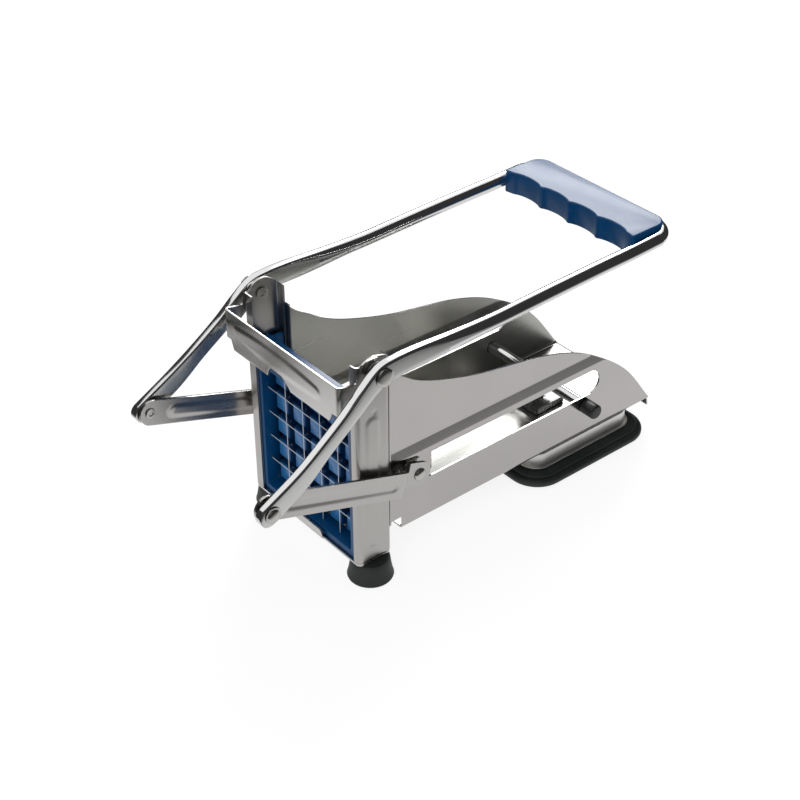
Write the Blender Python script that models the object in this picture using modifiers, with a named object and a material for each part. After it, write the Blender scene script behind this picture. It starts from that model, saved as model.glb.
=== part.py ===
"""Hand-lever french fry cutter with a blade cassette, a pusher and a suction foot.

The machine is laid out from a datum just behind the posts' front faces: x runs
back from it, y to the left as seen from the blade end, z up from the table. At
the end everything moves forward by the pad's setback, so that the origin is the
centre of the pad's underside. Right-hand pieces mirror the left-hand ones.
"""
import math

import bmesh
import bpy
from mathutils import Matrix, Vector

MM = 0.001
PART_NAME = "fry_cutter"

# Clearances and drawing detail
FIT = 0.3 * MM
OVERRUN = 3.0 * MM
WELD = 0.001 * MM
CORNER_STEPS = 4
ROUND_STEPS = 20
TUBE_SIDES = 14
DOME_STEPS = 3
SMOOTH_ANGLE = math.radians(32.0)
STRAIGHT_ANGLE = math.radians(89.5)
ROUND_END_SHARE = 0.999

# Layout
PAD_SETBACK = 161.5 * MM
PIVOT_SETBACK = 3.3 * MM
PIVOT_HEIGHT = 132.0 * MM

# Posts: folded channels, web outside, open towards each other
POST_HALF_SPAN = 46.0 * MM
POST_SHEET = 1.2 * MM
POST_LEAD = 7.0 * MM
POST_DEPTH = 21.4 * MM
POST_BEND = 2.2 * MM
FRONT_FLANGE = 7.3 * MM
REAR_FLANGE = 6.0 * MM
FRONT_FLANGE_RISE = 4.4 * MM
REAR_FLANGE_RISE = 2.2 * MM
POST_CROWN_RISE = 8.4 * MM
POST_RIB_WIDTH = 9.0 * MM
POST_RIB_SETBACK = 3.0 * MM
POST_RIB_DROP = 29.0 * MM
POST_RIB_FOOT = 24.0 * MM
POST_RIB_RISE = 0.5 * MM

# Front cross member under the cassette
MEMBER_SHEET = 1.2 * MM
MEMBER_TOP = 14.2 * MM
MEMBER_END_RADIUS = 3.0 * MM
LIP_HALF_WIDTH = 15.5 * MM
LIP_TOP = 18.8 * MM
LIP_CORNER = 2.5 * MM

# Front feet
FOOT_BASE_RADIUS = 12.4 * MM
FOOT_TOP_RADIUS = 10.5 * MM
FOOT_EDGE = 1.2 * MM
FOOT_HALF_SPAN = 41.0 * MM
FOOT_SETBACK = 4.0 * MM
FOOT_SCREW_RADIUS = 2.2 * MM
FOOT_SCREW_HEAD_RADIUS = 4.2 * MM
FOOT_SCREW_HEAD = 2.6 * MM
FOOT_SCREW_RECESS = 5.0 * MM

# Blade cassette
CASSETTE_HALF_WIDTH = 43.6 * MM
CASSETTE_FRONT = -5.4 * MM
CASSETTE_DEPTH = 9.9 * MM
CASSETTE_TOP = 108.8 * MM
CASSETTE_CORNER = 3.0 * MM
CASSETTE_EDGE = 0.5 * MM
OPENING_HALF_WIDTH = 36.7 * MM
OPENING_BOTTOM = 18.2 * MM
OPENING_TOP = 95.4 * MM
OPENING_CORNER = 1.2 * MM
CELLS_ACROSS = 5
CELLS_UP = 5
RUNNER_WIDTH = 3.0 * MM
RUNNER_INSET = 0.3 * MM

# Blades: half-lapped strips
BLADE_SHEET = 0.6 * MM
BLADE_DEPTH = 5.0 * MM
BLADE_FRONT = -1.0 * MM
BLADE_STEP = 0.4 * MM
BLADE_SEAT = 2.0 * MM

# Pusher
FINGER_TIP_GAP = 0.4 * MM
FINGER_LENGTH = 8.0 * MM
FINGER_ROOT_GAP = 1.0 * MM
FINGER_TIP_SHARE = 0.86
PUSHER_BASE = 5.0 * MM
PUSHER_SIDE_GAP = 0.6 * MM
PUSHER_FLOOR_GAP = 0.7 * MM
PUSHER_TOP = 93.2 * MM
PUSHER_CORNER = 1.5 * MM
PUSHER_SHEET = 1.2 * MM
EAR_SIDE_GAP = 0.3 * MM
EAR_REAR = 49.0 * MM
EAR_HALF_HEIGHT = 9.0 * MM
EAR_CORNER = 4.0 * MM
EAR_BEND = 1.8 * MM
PLATE_MARGIN = 5.0 * MM
PUSHER_SCREW_RADIUS = 1.5 * MM
PUSHER_SCREW_HEAD_RADIUS = 3.2 * MM
PUSHER_SCREW_HEAD = 0.9 * MM
PUSHER_SCREW_REACH = 5.0 * MM
PUSHER_SCREW_RIM_SHARE = 0.8

# Pusher pins, which carry the links' rear eyes
PIN_SETBACK = 36.0 * MM
PIN_HEIGHT = 50.9 * MM
PIN_RADIUS = 2.6 * MM
PIN_SHOULDER_RADIUS = 5.6 * MM
PIN_HEAD_RADIUS = 3.6 * MM
PIN_HEAD = 1.4 * MM

# Chute: one folded sheet with a floor and stepped walls
CHUTE_SHEET = 1.0 * MM
CHUTE_HALF_WIDTH = 38.0 * MM
STRIP_HALF_WIDTH = 39.5 * MM
STRIP_TOP = 61.0 * MM
WALL_START = 69.5 * MM
CHUTE_REAR = 214.0 * MM
CHUTE_FLOOR = 18.0 * MM
CHUTE_TOP = 123.4 * MM
CHUTE_BEND = 2.5 * MM
FLOOR_START = 27.0 * MM
NOTCH_TOP = 25.5 * MM
FLANGE_HALF_WIDTH = 44.4 * MM
FLANGE_CORNER = 4.0 * MM
WALL_TOP_SHARES = (
    (0.0, 0.995), (0.03, 0.945), (0.068, 0.900), (0.120, 0.836), (0.205, 0.770),
    (0.345, 0.695), (0.5685, 0.617), (0.729, 0.501), (0.8796, 0.300), (1.0, 0.010),
)
WALL_SPAN_STEPS = 3
SLOT_FRONT = 20.0 * MM
SLOT_REAR = 170.0 * MM
SLOT_HALF_HEIGHT = 7.75 * MM
REAR_LIP_DROP = 7.0 * MM
REAR_LIP_LEAN = 1.2 * MM
REAR_LIP_OVERLAP = 6.0 * MM

# Handle: one bent tube with flattened ends
TUBE_RADIUS = 4.05 * MM
TUBE_HALF_SPAN = 52.5 * MM
CRANK_HALF_SPAN = 54.6 * MM
TUBE_CORNER = 14.0 * MM
CROSS_BAR_SETBACK = 203.6 * MM
CRANK_SETBACK = -65.4 * MM
CRANK_HEIGHT = 85.0 * MM
ARM_TIP_REACH = 2.0 * MM
ARM_END_RADIUS = 5.8 * MM
ARM_THICKNESS = 6.0 * MM
ARM_END_THICKNESS = 5.0 * MM
ARM_DEPTH = 9.0 * MM
PIVOT_DEPTH = 11.5 * MM
CORNER_STATIONS = 6

# Handle path behind the pivot, as (setback, rise above the pivot) shares of the cross bar's setback
REAR_RUN_SHARES = ((0.933, 0.0246), (0.84, 0.0206), (0.732, 0.0187), (0.589, 0.0147), (0.4715, 0.0108),
                   (0.388, 0.0075), (0.30, 0.0072))
FLAT_RUN_SHARES = ((0.236, 0.0080), (0.167, 0.0096), (0.108, 0.0105), (0.059, 0.0080))
ARM_RUN_SHARES = (0.3, 0.65)
KINK_SETBACK = -47.6 * MM
KINK_HEIGHT = 95.0 * MM

# How square the handle's section is: two is round, more is boxier
ROUND_POWER = 2.0
FLAT_POWER = 3.2
END_POWER = 4.0

# Grip
GRIP_FRONT = 176.0 * MM
GRIP_REAR = 200.6 * MM
GRIP_HALF_WIDTH = 50.0 * MM
GRIP_TOP = 143.6 * MM
GRIP_BOTTOM = 130.0 * MM
GRIP_CORNER = 6.0 * MM
GRIP_EDGE = 2.2 * MM
FINGER_PITCH = 22.0 * MM
FINGER_HOLLOWS = 4
HOLLOW_DEPTH = 3.4 * MM
HORN_WIDTH = 3.0 * MM

# Links
LINK_WIDTH = 14.5 * MM
LINK_SHEET = 1.5 * MM
LINK_HALF_SPAN = 49.5 * MM
LINK_EYE_HALF_SPAN = 41.4 * MM
LINK_EYE_RUN = 9.5 * MM
LINK_JOGGLE_RUN = 17.5 * MM
LINK_BEND = 2.5 * MM
LINK_RIB_WIDTH = 6.0 * MM
LINK_RIB_DEPTH = 0.5 * MM
LINK_RIB_MARGIN = 14.0 * MM

# Crank rivets, in two parts: the outer rides with the handle, the inner with the link
CRANK_RIVET_RADIUS = 2.4 * MM
CRANK_HEAD_RADIUS = 3.7 * MM
CRANK_HEAD = 1.8 * MM
CRANK_SHOULDER_RADIUS = 4.4 * MM
TAIL_HEAD_RADIUS = 3.2 * MM
TAIL_HEAD = 0.6 * MM

# Handle pivot bolts
PIVOT_RADIUS = 2.8 * MM
PIVOT_HEAD_RADIUS = 4.8 * MM
PIVOT_HEAD = 2.2 * MM
PIVOT_TAIL_RADIUS = 3.4 * MM
PIVOT_TAIL = 0.5 * MM
SPACER_RADIUS = 5.2 * MM

# Cassette strap
STRAP_SHEET = 1.1 * MM
STRAP_FRONT = -18.6 * MM
STRAP_BEND = 2.4 * MM
STRAP_DROP = 1.8 * MM
STRAP_HEIGHT = 21.8 * MM
STRAP_NOTCH_HALF_WIDTH = 3.5 * MM
STRAP_NOTCH_FOOT_HALF_WIDTH = 11.5 * MM
STRAP_NOTCH_HEIGHT = 5.8 * MM
STRAP_END_INNER = 38.8 * MM
STRAP_END_OUTER = 42.0 * MM
STRAP_END_HEIGHT = 5.6 * MM
STRAP_ARM_FOOT_RISE = 6.8 * MM
STRAP_WAIST_DROP = 2.0 * MM
STRAP_WAIST_LEAD = 10.8 * MM
STRAP_EAR_RADIUS = 6.8 * MM
STRAP_EAR_FRONT_SHARE = 0.6
STRAP_CORNER = 1.5 * MM

# Suction foot
PAD_LENGTH = 94.4 * MM
PAD_HALF_WIDTH = 48.8 * MM
PAD_CORNER = 18.0 * MM
PAD_TOP = 6.0 * MM
PAD_EDGE = 2.0 * MM
PAD_EDGE_ANGLE = math.radians(60.0)
HOUSING_LENGTH = 75.0 * MM
HOUSING_HALF_WIDTH = 38.2 * MM
HOUSING_CORNER = 9.0 * MM
HOUSING_EDGE = 1.6 * MM
HOUSING_RIM = 1.8 * MM
HOUSING_RIM_HEIGHT = 1.4 * MM
STUD_RADIUS = 3.0 * MM
STUD_FOOT_RADIUS = 6.0 * MM
STUD_FOOT_HEIGHT = 2.0 * MM
STUD_FOOT_BASE = 2.8 * MM
STUD_RISE = 2.0 * MM
YOKE_HALF_THICKNESS = 4.2 * MM
YOKE_WALL = 2.6 * MM
YOKE_CORNER = 3.0 * MM
GUIDE_SIZE = 22.0 * MM
GUIDE_HEIGHT = 4.0 * MM
GUIDE_EDGE = 0.8 * MM
SHAFT_HEIGHT = 37.0 * MM
SHAFT_RADIUS = 3.3 * MM
CAM_RADIUS = 4.6 * MM
CAM_SLACK = 0.7 * MM
CAP_RADIUS = 4.3 * MM
CAP_LENGTH = 9.4 * MM
CAP_EDGE = 0.8 * MM
SHAFT_SOCKET = 4.0 * MM
LEVER_LENGTH = 24.0 * MM
LEVER_BOSS_RADIUS = 5.2 * MM
LEVER_END_RADIUS = 4.0 * MM
LEVER_SHEET = 2.6 * MM
LEVER_TAB = 6.0 * MM
LEVER_DROOP = math.radians(20.0)
LEVER_NUT_RADIUS = 4.2 * MM
LEVER_NUT = 2.0 * MM

# Places worked out from the sizes above
WEB_INNER = POST_HALF_SPAN - POST_SHEET
POST_REAR = POST_DEPTH - POST_LEAD
POST_FOOT = MEMBER_TOP + FIT
FRONT_FLANGE_TOP = PIVOT_HEIGHT + FRONT_FLANGE_RISE
REAR_FLANGE_TOP = PIVOT_HEIGHT + REAR_FLANGE_RISE
POST_CROWN = PIVOT_HEIGHT + POST_CROWN_RISE
POST_RIB_TOP = PIVOT_HEIGHT - POST_RIB_DROP
STRAP_TOP = PIVOT_HEIGHT - STRAP_DROP
STRAP_BOTTOM = STRAP_TOP - STRAP_HEIGHT
STRAP_NOTCH_TOP = STRAP_BOTTOM + STRAP_NOTCH_HEIGHT
STRAP_END_TOP = STRAP_BOTTOM + STRAP_END_HEIGHT
STRAP_ARM_FOOT = STRAP_BOTTOM + STRAP_ARM_FOOT_RISE
STRAP_WAIST = STRAP_TOP - STRAP_WAIST_DROP
STRAP_WAIST_SETBACK = PIVOT_SETBACK - STRAP_WAIST_LEAD
CHUTE_FRONT = POST_REAR + FIT
CASSETTE_REAR = CASSETTE_FRONT + CASSETTE_DEPTH
BLADE_REAR = BLADE_FRONT + BLADE_DEPTH
FINGER_TIP = CASSETTE_REAR + FINGER_TIP_GAP
PUSHER_REAR = FINGER_TIP + FINGER_LENGTH + PUSHER_BASE
PLATE_FRONT = PUSHER_REAR + FIT
PLATE_REAR = PLATE_FRONT + PUSHER_SHEET
EAR_OUTER = CHUTE_HALF_WIDTH - CHUTE_SHEET - EAR_SIDE_GAP
PUSHER_HALF_WIDTH = CHUTE_HALF_WIDTH - CHUTE_SHEET - PUSHER_SIDE_GAP
PUSHER_BOTTOM = CHUTE_FLOOR + PUSHER_FLOOR_GAP
CELL_WIDTH = 2 * OPENING_HALF_WIDTH / CELLS_ACROSS
CELL_HEIGHT = (OPENING_TOP - OPENING_BOTTOM) / CELLS_UP
CHUTE_LENGTH = CHUTE_REAR - CHUTE_FRONT
CHUTE_UNDERSIDE = CHUTE_FLOOR - CHUTE_SHEET
STRAP_OUTER = POST_HALF_SPAN + FIT + STRAP_SHEET
ARM_INNER = TUBE_HALF_SPAN - ARM_THICKNESS / 2
ARM_OUTER = TUBE_HALF_SPAN + ARM_THICKNESS / 2
CRANK_INNER = CRANK_HALF_SPAN - ARM_END_THICKNESS / 2
CRANK_OUTER = CRANK_HALF_SPAN + ARM_END_THICKNESS / 2
LINK_OUTER = LINK_HALF_SPAN + LINK_SHEET
LINK_EYE_OUTER = LINK_EYE_HALF_SPAN + LINK_SHEET
HOUSING_TOP = CHUTE_UNDERSIDE - FIT
HOUSING_BOTTOM = PAD_TOP + FIT
SHAFT_SETBACK = PAD_SETBACK - STUD_RISE
PIVOT = Vector((PIVOT_SETBACK, 0.0, PIVOT_HEIGHT))
CRANK = Vector((CRANK_SETBACK, 0.0, CRANK_HEIGHT))
PUSHER_PIN = Vector((PIN_SETBACK, 0.0, PIN_HEIGHT))
SHAFT = Vector((SHAFT_SETBACK, 0.0, SHAFT_HEIGHT))
LINK_LENGTH = (CRANK - PUSHER_PIN).length
LINK_ANGLE = math.atan2(CRANK.z - PUSHER_PIN.z, PUSHER_PIN.x - CRANK.x)

# Which way each flat outline faces: its normal, and where its own x and y point
BASES = {
    "XY": Matrix(((1, 0, 0), (0, 1, 0), (0, 0, 1))),
    "XZ": Matrix(((1, 0, 0), (0, 0, -1), (0, 1, 0))),
    "YZ": Matrix(((0, 0, 1), (1, 0, 0), (0, 1, 0))),
}
SIDES = (("left", 1), ("right", -1))


# Scene helpers

def clear_scene():
    """Remove every object that the scene starts with."""
    for obj in list(bpy.data.objects):
        bpy.data.objects.remove(obj, do_unlink=True)


def new_collection(name, cutters=False):
    """Collection in the scene; one for cutters is left out of renders."""
    collection = bpy.data.collections.new(name)
    bpy.context.scene.collection.children.link(collection)
    collection.hide_render = cutters
    return collection


def material(name, colour, roughness, metallic=0.0):
    """Principled material with the given base colour, roughness and metallic value."""
    made = bpy.data.materials.new(name)
    made.use_nodes = True
    shader = made.node_tree.nodes["Principled BSDF"]
    shader.inputs["Base Color"].default_value = (*colour, 1.0)
    shader.inputs["Roughness"].default_value = roughness
    shader.inputs["Metallic"].default_value = metallic
    made.diffuse_color = (*colour, 1.0)
    return made


def mesh_object(name, mesh):
    """Object for a mesh, in the part's collection and shaded by angle."""
    mesh.shade_smooth()
    mesh.set_sharp_from_angle(angle=SMOOTH_ANGLE)
    obj = bpy.data.objects.new(name, mesh)
    PARTS.objects.link(obj)
    return obj


def evaluated_mesh(obj):
    """Mesh of an object with its modifiers applied."""
    bpy.context.view_layer.update()
    graph = bpy.context.evaluated_depsgraph_get()
    return bpy.data.meshes.new_from_object(obj.evaluated_get(graph))


def as_cutter(obj):
    """Move an object to the cutters' collection."""
    PARTS.objects.unlink(obj)
    CUTTERS.objects.link(obj)
    obj.hide_render = True
    obj.display_type = "WIRE"
    return obj


def combine(target, tool, operation="DIFFERENCE"):
    """Cut a tool from the target, join it on, or keep what both share."""
    as_cutter(tool)
    step = target.modifiers.new(tool.name, "BOOLEAN")
    step.operation = operation
    step.solver = "EXACT"
    step.object = tool


def fixed(obj):
    """Apply an object's modifiers to its mesh."""
    mesh = evaluated_mesh(obj)
    obj.modifiers.clear()
    obj.data = mesh
    mesh.shade_smooth()
    mesh.set_sharp_from_angle(angle=SMOOTH_ANGLE)
    return obj


def set_origin(obj, point):
    """Put the object's origin at a point and leave its shape where it is."""
    obj.data.transform(Matrix.Translation(-point))
    obj.location = point
    return obj


def mirrored(obj, name):
    """Copy of a finished object, reflected to the other side of the machine."""
    mesh = obj.data.copy()
    mesh.transform(Matrix.Diagonal((1.0, -1.0, 1.0, 1.0)))
    mesh.flip_normals()
    copy = mesh_object(name, mesh)
    copy.location = obj.location
    copy.rotation_euler = obj.rotation_euler
    for slot in obj.data.materials:
        if slot and slot.name not in mesh.materials:
            mesh.materials.append(slot)
    return copy


def paint(finish, *objects):
    """Give each object the one finish."""
    for obj in objects:
        obj.data.materials.clear()
        obj.data.materials.append(finish)


# Outlines

def round_corners(corners, steps=CORNER_STEPS):
    """Closed outline through (x, y, radius) corners, each rounded to its radius."""
    points = []
    count = len(corners)
    for index, (x, y, radius) in enumerate(corners):
        here = Vector((x, y))
        back = (Vector(corners[index - 1][:2]) - here).normalized()
        ahead = (Vector(corners[(index + 1) % count][:2]) - here).normalized()
        half = back.angle(ahead) / 2
        if radius <= WELD or half > STRAIGHT_ANGLE:
            points.append(here)
            continue
        start = here + back * (radius / math.tan(half))
        centre = here + (back + ahead).normalized() * (radius / math.sin(half))
        first = start - centre
        turn = math.pi - 2 * half
        if back.cross(ahead) > 0:
            turn = -turn
        for step in range(steps + 1):
            spoke = first.copy()
            spoke.rotate(Matrix.Rotation(turn * step / steps, 2))
            points.append(centre + spoke)
    return points


def rounded_rectangle(low_x, low_y, high_x, high_y, radius, steps=CORNER_STEPS):
    """Outline of a rectangle with one corner radius."""
    corners = [(low_x, low_y, radius), (high_x, low_y, radius), (high_x, high_y, radius),
               (low_x, high_y, radius)]
    return round_corners(corners, steps)


def circle(x, y, radius, steps=ROUND_STEPS):
    """Outline of a circle."""
    angles = [2 * math.pi * step / steps for step in range(steps)]
    return [Vector((x + radius * math.cos(angle), y + radius * math.sin(angle))) for angle in angles]


def arc_over(start, peak, end, steps=2 * CORNER_STEPS):
    """Points of the circle from start to end that passes through the peak."""
    start, peak, end = Vector(start), Vector(peak), Vector(end)
    points = []
    for step in range(steps + 1):
        t = step / steps
        points.append(start * (1 - t) * (1 - 2 * t) + peak * 4 * t * (1 - t) + end * t * (2 * t - 1))
    return points


def smooth_through(points, per_span=WALL_SPAN_STEPS):
    """Smooth curve through the given points."""
    points = [Vector(point) for point in points]
    padded = [2 * points[0] - points[1]] + points + [2 * points[-1] - points[-2]]
    curve = []
    for index in range(len(points) - 1):
        a, b, c, d = padded[index:index + 4]
        for step in range(per_span):
            t = step / per_span
            curve.append((2 * b + (c - a) * t + (2 * a - 5 * b + 4 * c - d) * t ** 2
                          + (3 * b - a - 3 * c + d) * t ** 3) / 2)
    curve.append(points[-1])
    return curve


def sheet_outline(path, sheet, bend):
    """Outline of a folded sheet: the path is one face, the sheet lies to its left."""
    path = [Vector(point) for point in path]
    last = len(path) - 1
    runs = [(path[i + 1] - path[i]).normalized() for i in range(last)]
    lefts = [Vector((-run.y, run.x)) for run in runs]
    near = [(path[0].x, path[0].y, 0.0)]
    far = [(*(path[0] + lefts[0] * sheet), 0.0)]
    for index in range(1, last):
        before, after = lefts[index - 1], lefts[index]
        offset = (before + after) * (sheet / (1 + before.dot(after)))
        outside_near = runs[index - 1].cross(runs[index]) > 0
        near_radius, far_radius = (bend, bend - sheet) if outside_near else (bend - sheet, bend)
        near.append((*path[index], near_radius))
        far.append((*(path[index] + offset), far_radius))
    near.append((*path[last], 0.0))
    far.append((*(path[last] + lefts[-1] * sheet), 0.0))
    return round_corners(near + far[::-1])


# Solids

def plate(name, loops, thickness, basis, start, edge=0.0):
    """Solid from flat outlines: the first is the rim, the others are holes."""
    curve = bpy.data.curves.new(name, "CURVE")
    curve.dimensions = "2D"
    curve.fill_mode = "BOTH"
    curve.extrude = thickness / 2 - edge
    curve.bevel_depth = edge
    curve.bevel_resolution = 2
    curve.offset = -edge
    for loop in loops:
        spline = curve.splines.new("POLY")
        spline.points.add(len(loop) - 1)
        for point, place in zip(spline.points, loop):
            point.co = (place.x, place.y, 0.0, 1.0)
        spline.use_cyclic_u = True
    outline = bpy.data.objects.new(name + "_outline", curve)
    PARTS.objects.link(outline)
    mesh = evaluated_mesh(outline)
    bpy.data.objects.remove(outline, do_unlink=True)
    turn = BASES[basis].to_4x4()
    normal = turn.to_3x3() @ Vector((0, 0, 1))
    side = 1 if normal.x + normal.y + normal.z > 0 else -1
    mesh.transform(Matrix.Translation(normal * side * (start + thickness / 2)) @ turn)
    return closed_mesh(name, mesh)


def closed_mesh(name, mesh):
    """Weld a mesh's loose caps, turn its faces outward and make its object."""
    shape = bmesh.new()
    shape.from_mesh(mesh)
    bmesh.ops.remove_doubles(shape, verts=shape.verts, dist=WELD)
    bmesh.ops.recalc_face_normals(shape, faces=shape.faces)
    shape.to_mesh(mesh)
    shape.free()
    return mesh_object(name, mesh)


def box(name, low, high):
    """Box between two corners."""
    low, high = Vector(low), Vector(high)
    shape = bmesh.new()
    bmesh.ops.create_cube(shape, size=1.0)
    bmesh.ops.scale(shape, vec=high - low, verts=shape.verts)
    bmesh.ops.translate(shape, vec=(low + high) / 2, verts=shape.verts)
    mesh = bpy.data.meshes.new(name)
    shape.to_mesh(mesh)
    shape.free()
    return mesh_object(name, mesh)


def rod(name, radius, start, end):
    """Round bar between two points, used for pins' holes and bars."""
    start, end = Vector(start), Vector(end)
    shape = bmesh.new()
    bmesh.ops.create_cone(shape, cap_ends=True, segments=ROUND_STEPS, radius1=radius, radius2=radius,
                          depth=(end - start).length)
    turn = (end - start).to_track_quat("Z", "Y").to_matrix().to_4x4()
    bmesh.ops.transform(shape, matrix=Matrix.Translation((start + end) / 2) @ turn, verts=shape.verts)
    mesh = bpy.data.meshes.new(name)
    shape.to_mesh(mesh)
    shape.free()
    return mesh_object(name, mesh)


def cross_hole(name, centre, radius):
    """Hole cutter along y, right through the machine."""
    reach = Vector((0.0, CRANK_OUTER + OVERRUN, 0.0))
    return rod(name, radius, centre - reach, centre + reach)


def turned(name, profile, closed=False):
    """Turned piece about z: (radius, height) points from the top down the outside."""
    mesh = bpy.data.meshes.new(name)
    verts = [(radius, 0.0, height) for radius, height in profile]
    edges = [(index, index + 1) for index in range(len(verts) - 1)]
    if closed:
        edges.append((len(verts) - 1, 0))
    mesh.from_pydata(verts, edges, [])
    obj = bpy.data.objects.new(name, mesh)
    PARTS.objects.link(obj)
    spin = obj.modifiers.new("Turn", "SCREW")
    spin.angle = 2 * math.pi
    spin.steps = ROUND_STEPS
    spin.render_steps = ROUND_STEPS
    spin.use_merge_vertices = True
    spin.merge_threshold = WELD
    mesh = evaluated_mesh(obj)
    bpy.data.objects.remove(obj, do_unlink=True)
    return closed_mesh(name, mesh)


def pin_across(name, profile, centre):
    """Turned pin whose heights are distances from the machine's middle plane."""
    pin = turned(name, profile)
    pin.data.transform(Matrix.Rotation(-math.pi / 2, 4, "X"))
    pin.location = centre
    return pin


def dome(radius, base, height, steps=DOME_STEPS):
    """Profile of a domed head from its crown down to its rim."""
    points = []
    for step in range(steps + 1):
        angle = math.pi / 2 * step / steps
        points.append((radius * math.sin(angle), base + height * math.cos(angle)))
    return points


# Frame pieces

def build_post(name):
    """Left post: folded channel with a crowned top and a long raised rib."""
    path = ((-POST_LEAD, POST_HALF_SPAN - FRONT_FLANGE), (-POST_LEAD, POST_HALF_SPAN),
            (POST_REAR, POST_HALF_SPAN), (POST_REAR, POST_HALF_SPAN - REAR_FLANGE))
    section = sheet_outline(path[::-1], POST_SHEET, POST_BEND)
    post = plate(name, [section], POST_CROWN - POST_FOOT, "XY", POST_FOOT)
    middle = (POST_REAR - POST_LEAD) / 2
    crown = arc_over((POST_REAR, REAR_FLANGE_TOP), (middle, POST_CROWN), (-POST_LEAD, FRONT_FLANGE_TOP))
    side = [Vector((-POST_LEAD - OVERRUN, POST_FOOT - OVERRUN)),
            Vector((POST_REAR + OVERRUN, POST_FOOT - OVERRUN)),
            Vector((POST_REAR + OVERRUN, REAR_FLANGE_TOP))]
    side += crown + [Vector((-POST_LEAD - OVERRUN, FRONT_FLANGE_TOP))]
    combine(post, plate(name + "_side", [side], POST_HALF_SPAN + OVERRUN, "XZ", 0.0), "INTERSECT")
    half = POST_RIB_WIDTH / 2
    inner = half - POST_SHEET
    rib = rounded_rectangle(POST_RIB_SETBACK - half, POST_RIB_FOOT, POST_RIB_SETBACK + half, POST_RIB_TOP,
                            half)
    groove = rounded_rectangle(POST_RIB_SETBACK - inner, POST_RIB_FOOT + POST_SHEET,
                               POST_RIB_SETBACK + inner,
                               POST_RIB_TOP - POST_SHEET, inner)
    rise = plate(name + "_rib", [rib], POST_RIB_RISE + POST_SHEET / 2, "XZ", POST_HALF_SPAN - POST_SHEET / 2)
    combine(post, rise, "UNION")
    hollow = plate(name + "_groove", [groove], POST_RIB_RISE + OVERRUN, "XZ", WEB_INNER - OVERRUN)
    combine(post, hollow)
    combine(post, cross_hole(name + "_pivot_hole", PIVOT, PIVOT_RADIUS + FIT))
    return fixed(post)


def build_cross_member():
    """Plate that joins the posts' feet, with a turned-up lip at its front."""
    outline = rounded_rectangle(-POST_LEAD, -POST_HALF_SPAN, POST_REAR, POST_HALF_SPAN, MEMBER_END_RADIUS)
    holes = [circle(FOOT_SETBACK, side * FOOT_HALF_SPAN, FOOT_SCREW_RADIUS + FIT) for _, side in SIDES]
    member = plate("front_cross_member", [outline] + holes, MEMBER_SHEET, "XY", MEMBER_TOP - MEMBER_SHEET)
    lip = round_corners([(-LIP_HALF_WIDTH, MEMBER_TOP - MEMBER_SHEET / 2, 0.0),
                         (LIP_HALF_WIDTH, MEMBER_TOP - MEMBER_SHEET / 2, 0.0),
                         (LIP_HALF_WIDTH, LIP_TOP, LIP_CORNER), (-LIP_HALF_WIDTH, LIP_TOP, LIP_CORNER)])
    upturn = plate("front_lip", [lip], MEMBER_SHEET, "YZ", -POST_LEAD - MEMBER_SHEET / 2)
    combine(member, upturn, "UNION")
    return fixed(member)


def build_foot(name):
    """Left rubber foot: a cone with a recess below for its screw's head."""
    top = MEMBER_TOP - MEMBER_SHEET - FIT
    hole = FOOT_SCREW_RADIUS + FIT
    recess = FOOT_SCREW_HEAD_RADIUS + FIT
    profile = ((hole, top), (FOOT_TOP_RADIUS - FOOT_EDGE, top), (FOOT_TOP_RADIUS, top - FOOT_EDGE),
               (FOOT_BASE_RADIUS, FOOT_EDGE), (FOOT_BASE_RADIUS - FOOT_EDGE, 0.0), (recess, 0.0),
               (recess, FOOT_SCREW_RECESS), (hole, FOOT_SCREW_RECESS))
    foot = turned(name, profile, closed=True)
    foot.location = (FOOT_SETBACK, FOOT_HALF_SPAN, 0.0)
    return foot


def build_foot_screw(name):
    """Left foot screw, from the foot's recess up through the cross member."""
    seat = FOOT_SCREW_RECESS - FIT
    profile = ((0.0, MEMBER_TOP), (FOOT_SCREW_RADIUS, MEMBER_TOP), (FOOT_SCREW_RADIUS, seat),
               (FOOT_SCREW_HEAD_RADIUS, seat), (FOOT_SCREW_HEAD_RADIUS, seat - FOOT_SCREW_HEAD),
               (0.0, seat - FOOT_SCREW_HEAD))
    screw = turned(name, profile)
    screw.location = (FOOT_SETBACK, FOOT_HALF_SPAN, 0.0)
    return screw


def wall_top():
    """Upper edge of a chute wall, from the flange to the rear."""
    rise = CHUTE_TOP - CHUTE_UNDERSIDE
    keys = []
    for along, up in WALL_TOP_SHARES:
        keys.append((CHUTE_FRONT + along * CHUTE_LENGTH, CHUTE_UNDERSIDE + up * rise))
    return smooth_through(keys)


def build_flange(name):
    """Left flange that holds the chute to the rear of the post."""
    mid = CHUTE_SHEET / 2
    outline = round_corners([(CHUTE_HALF_WIDTH - mid, CHUTE_TOP, 0.0),
                             (CHUTE_HALF_WIDTH - mid, WALL_START, 0.0),
                             (STRIP_HALF_WIDTH - mid, STRIP_TOP, 0.0),
                             (STRIP_HALF_WIDTH - mid, NOTCH_TOP + FIT, 0.0),
                             (FLANGE_HALF_WIDTH, NOTCH_TOP + FIT, FLANGE_CORNER),
                             (FLANGE_HALF_WIDTH, CHUTE_TOP, FLANGE_CORNER)])
    return plate(name, [outline], CHUTE_SHEET, "YZ", CHUTE_FRONT)


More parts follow.
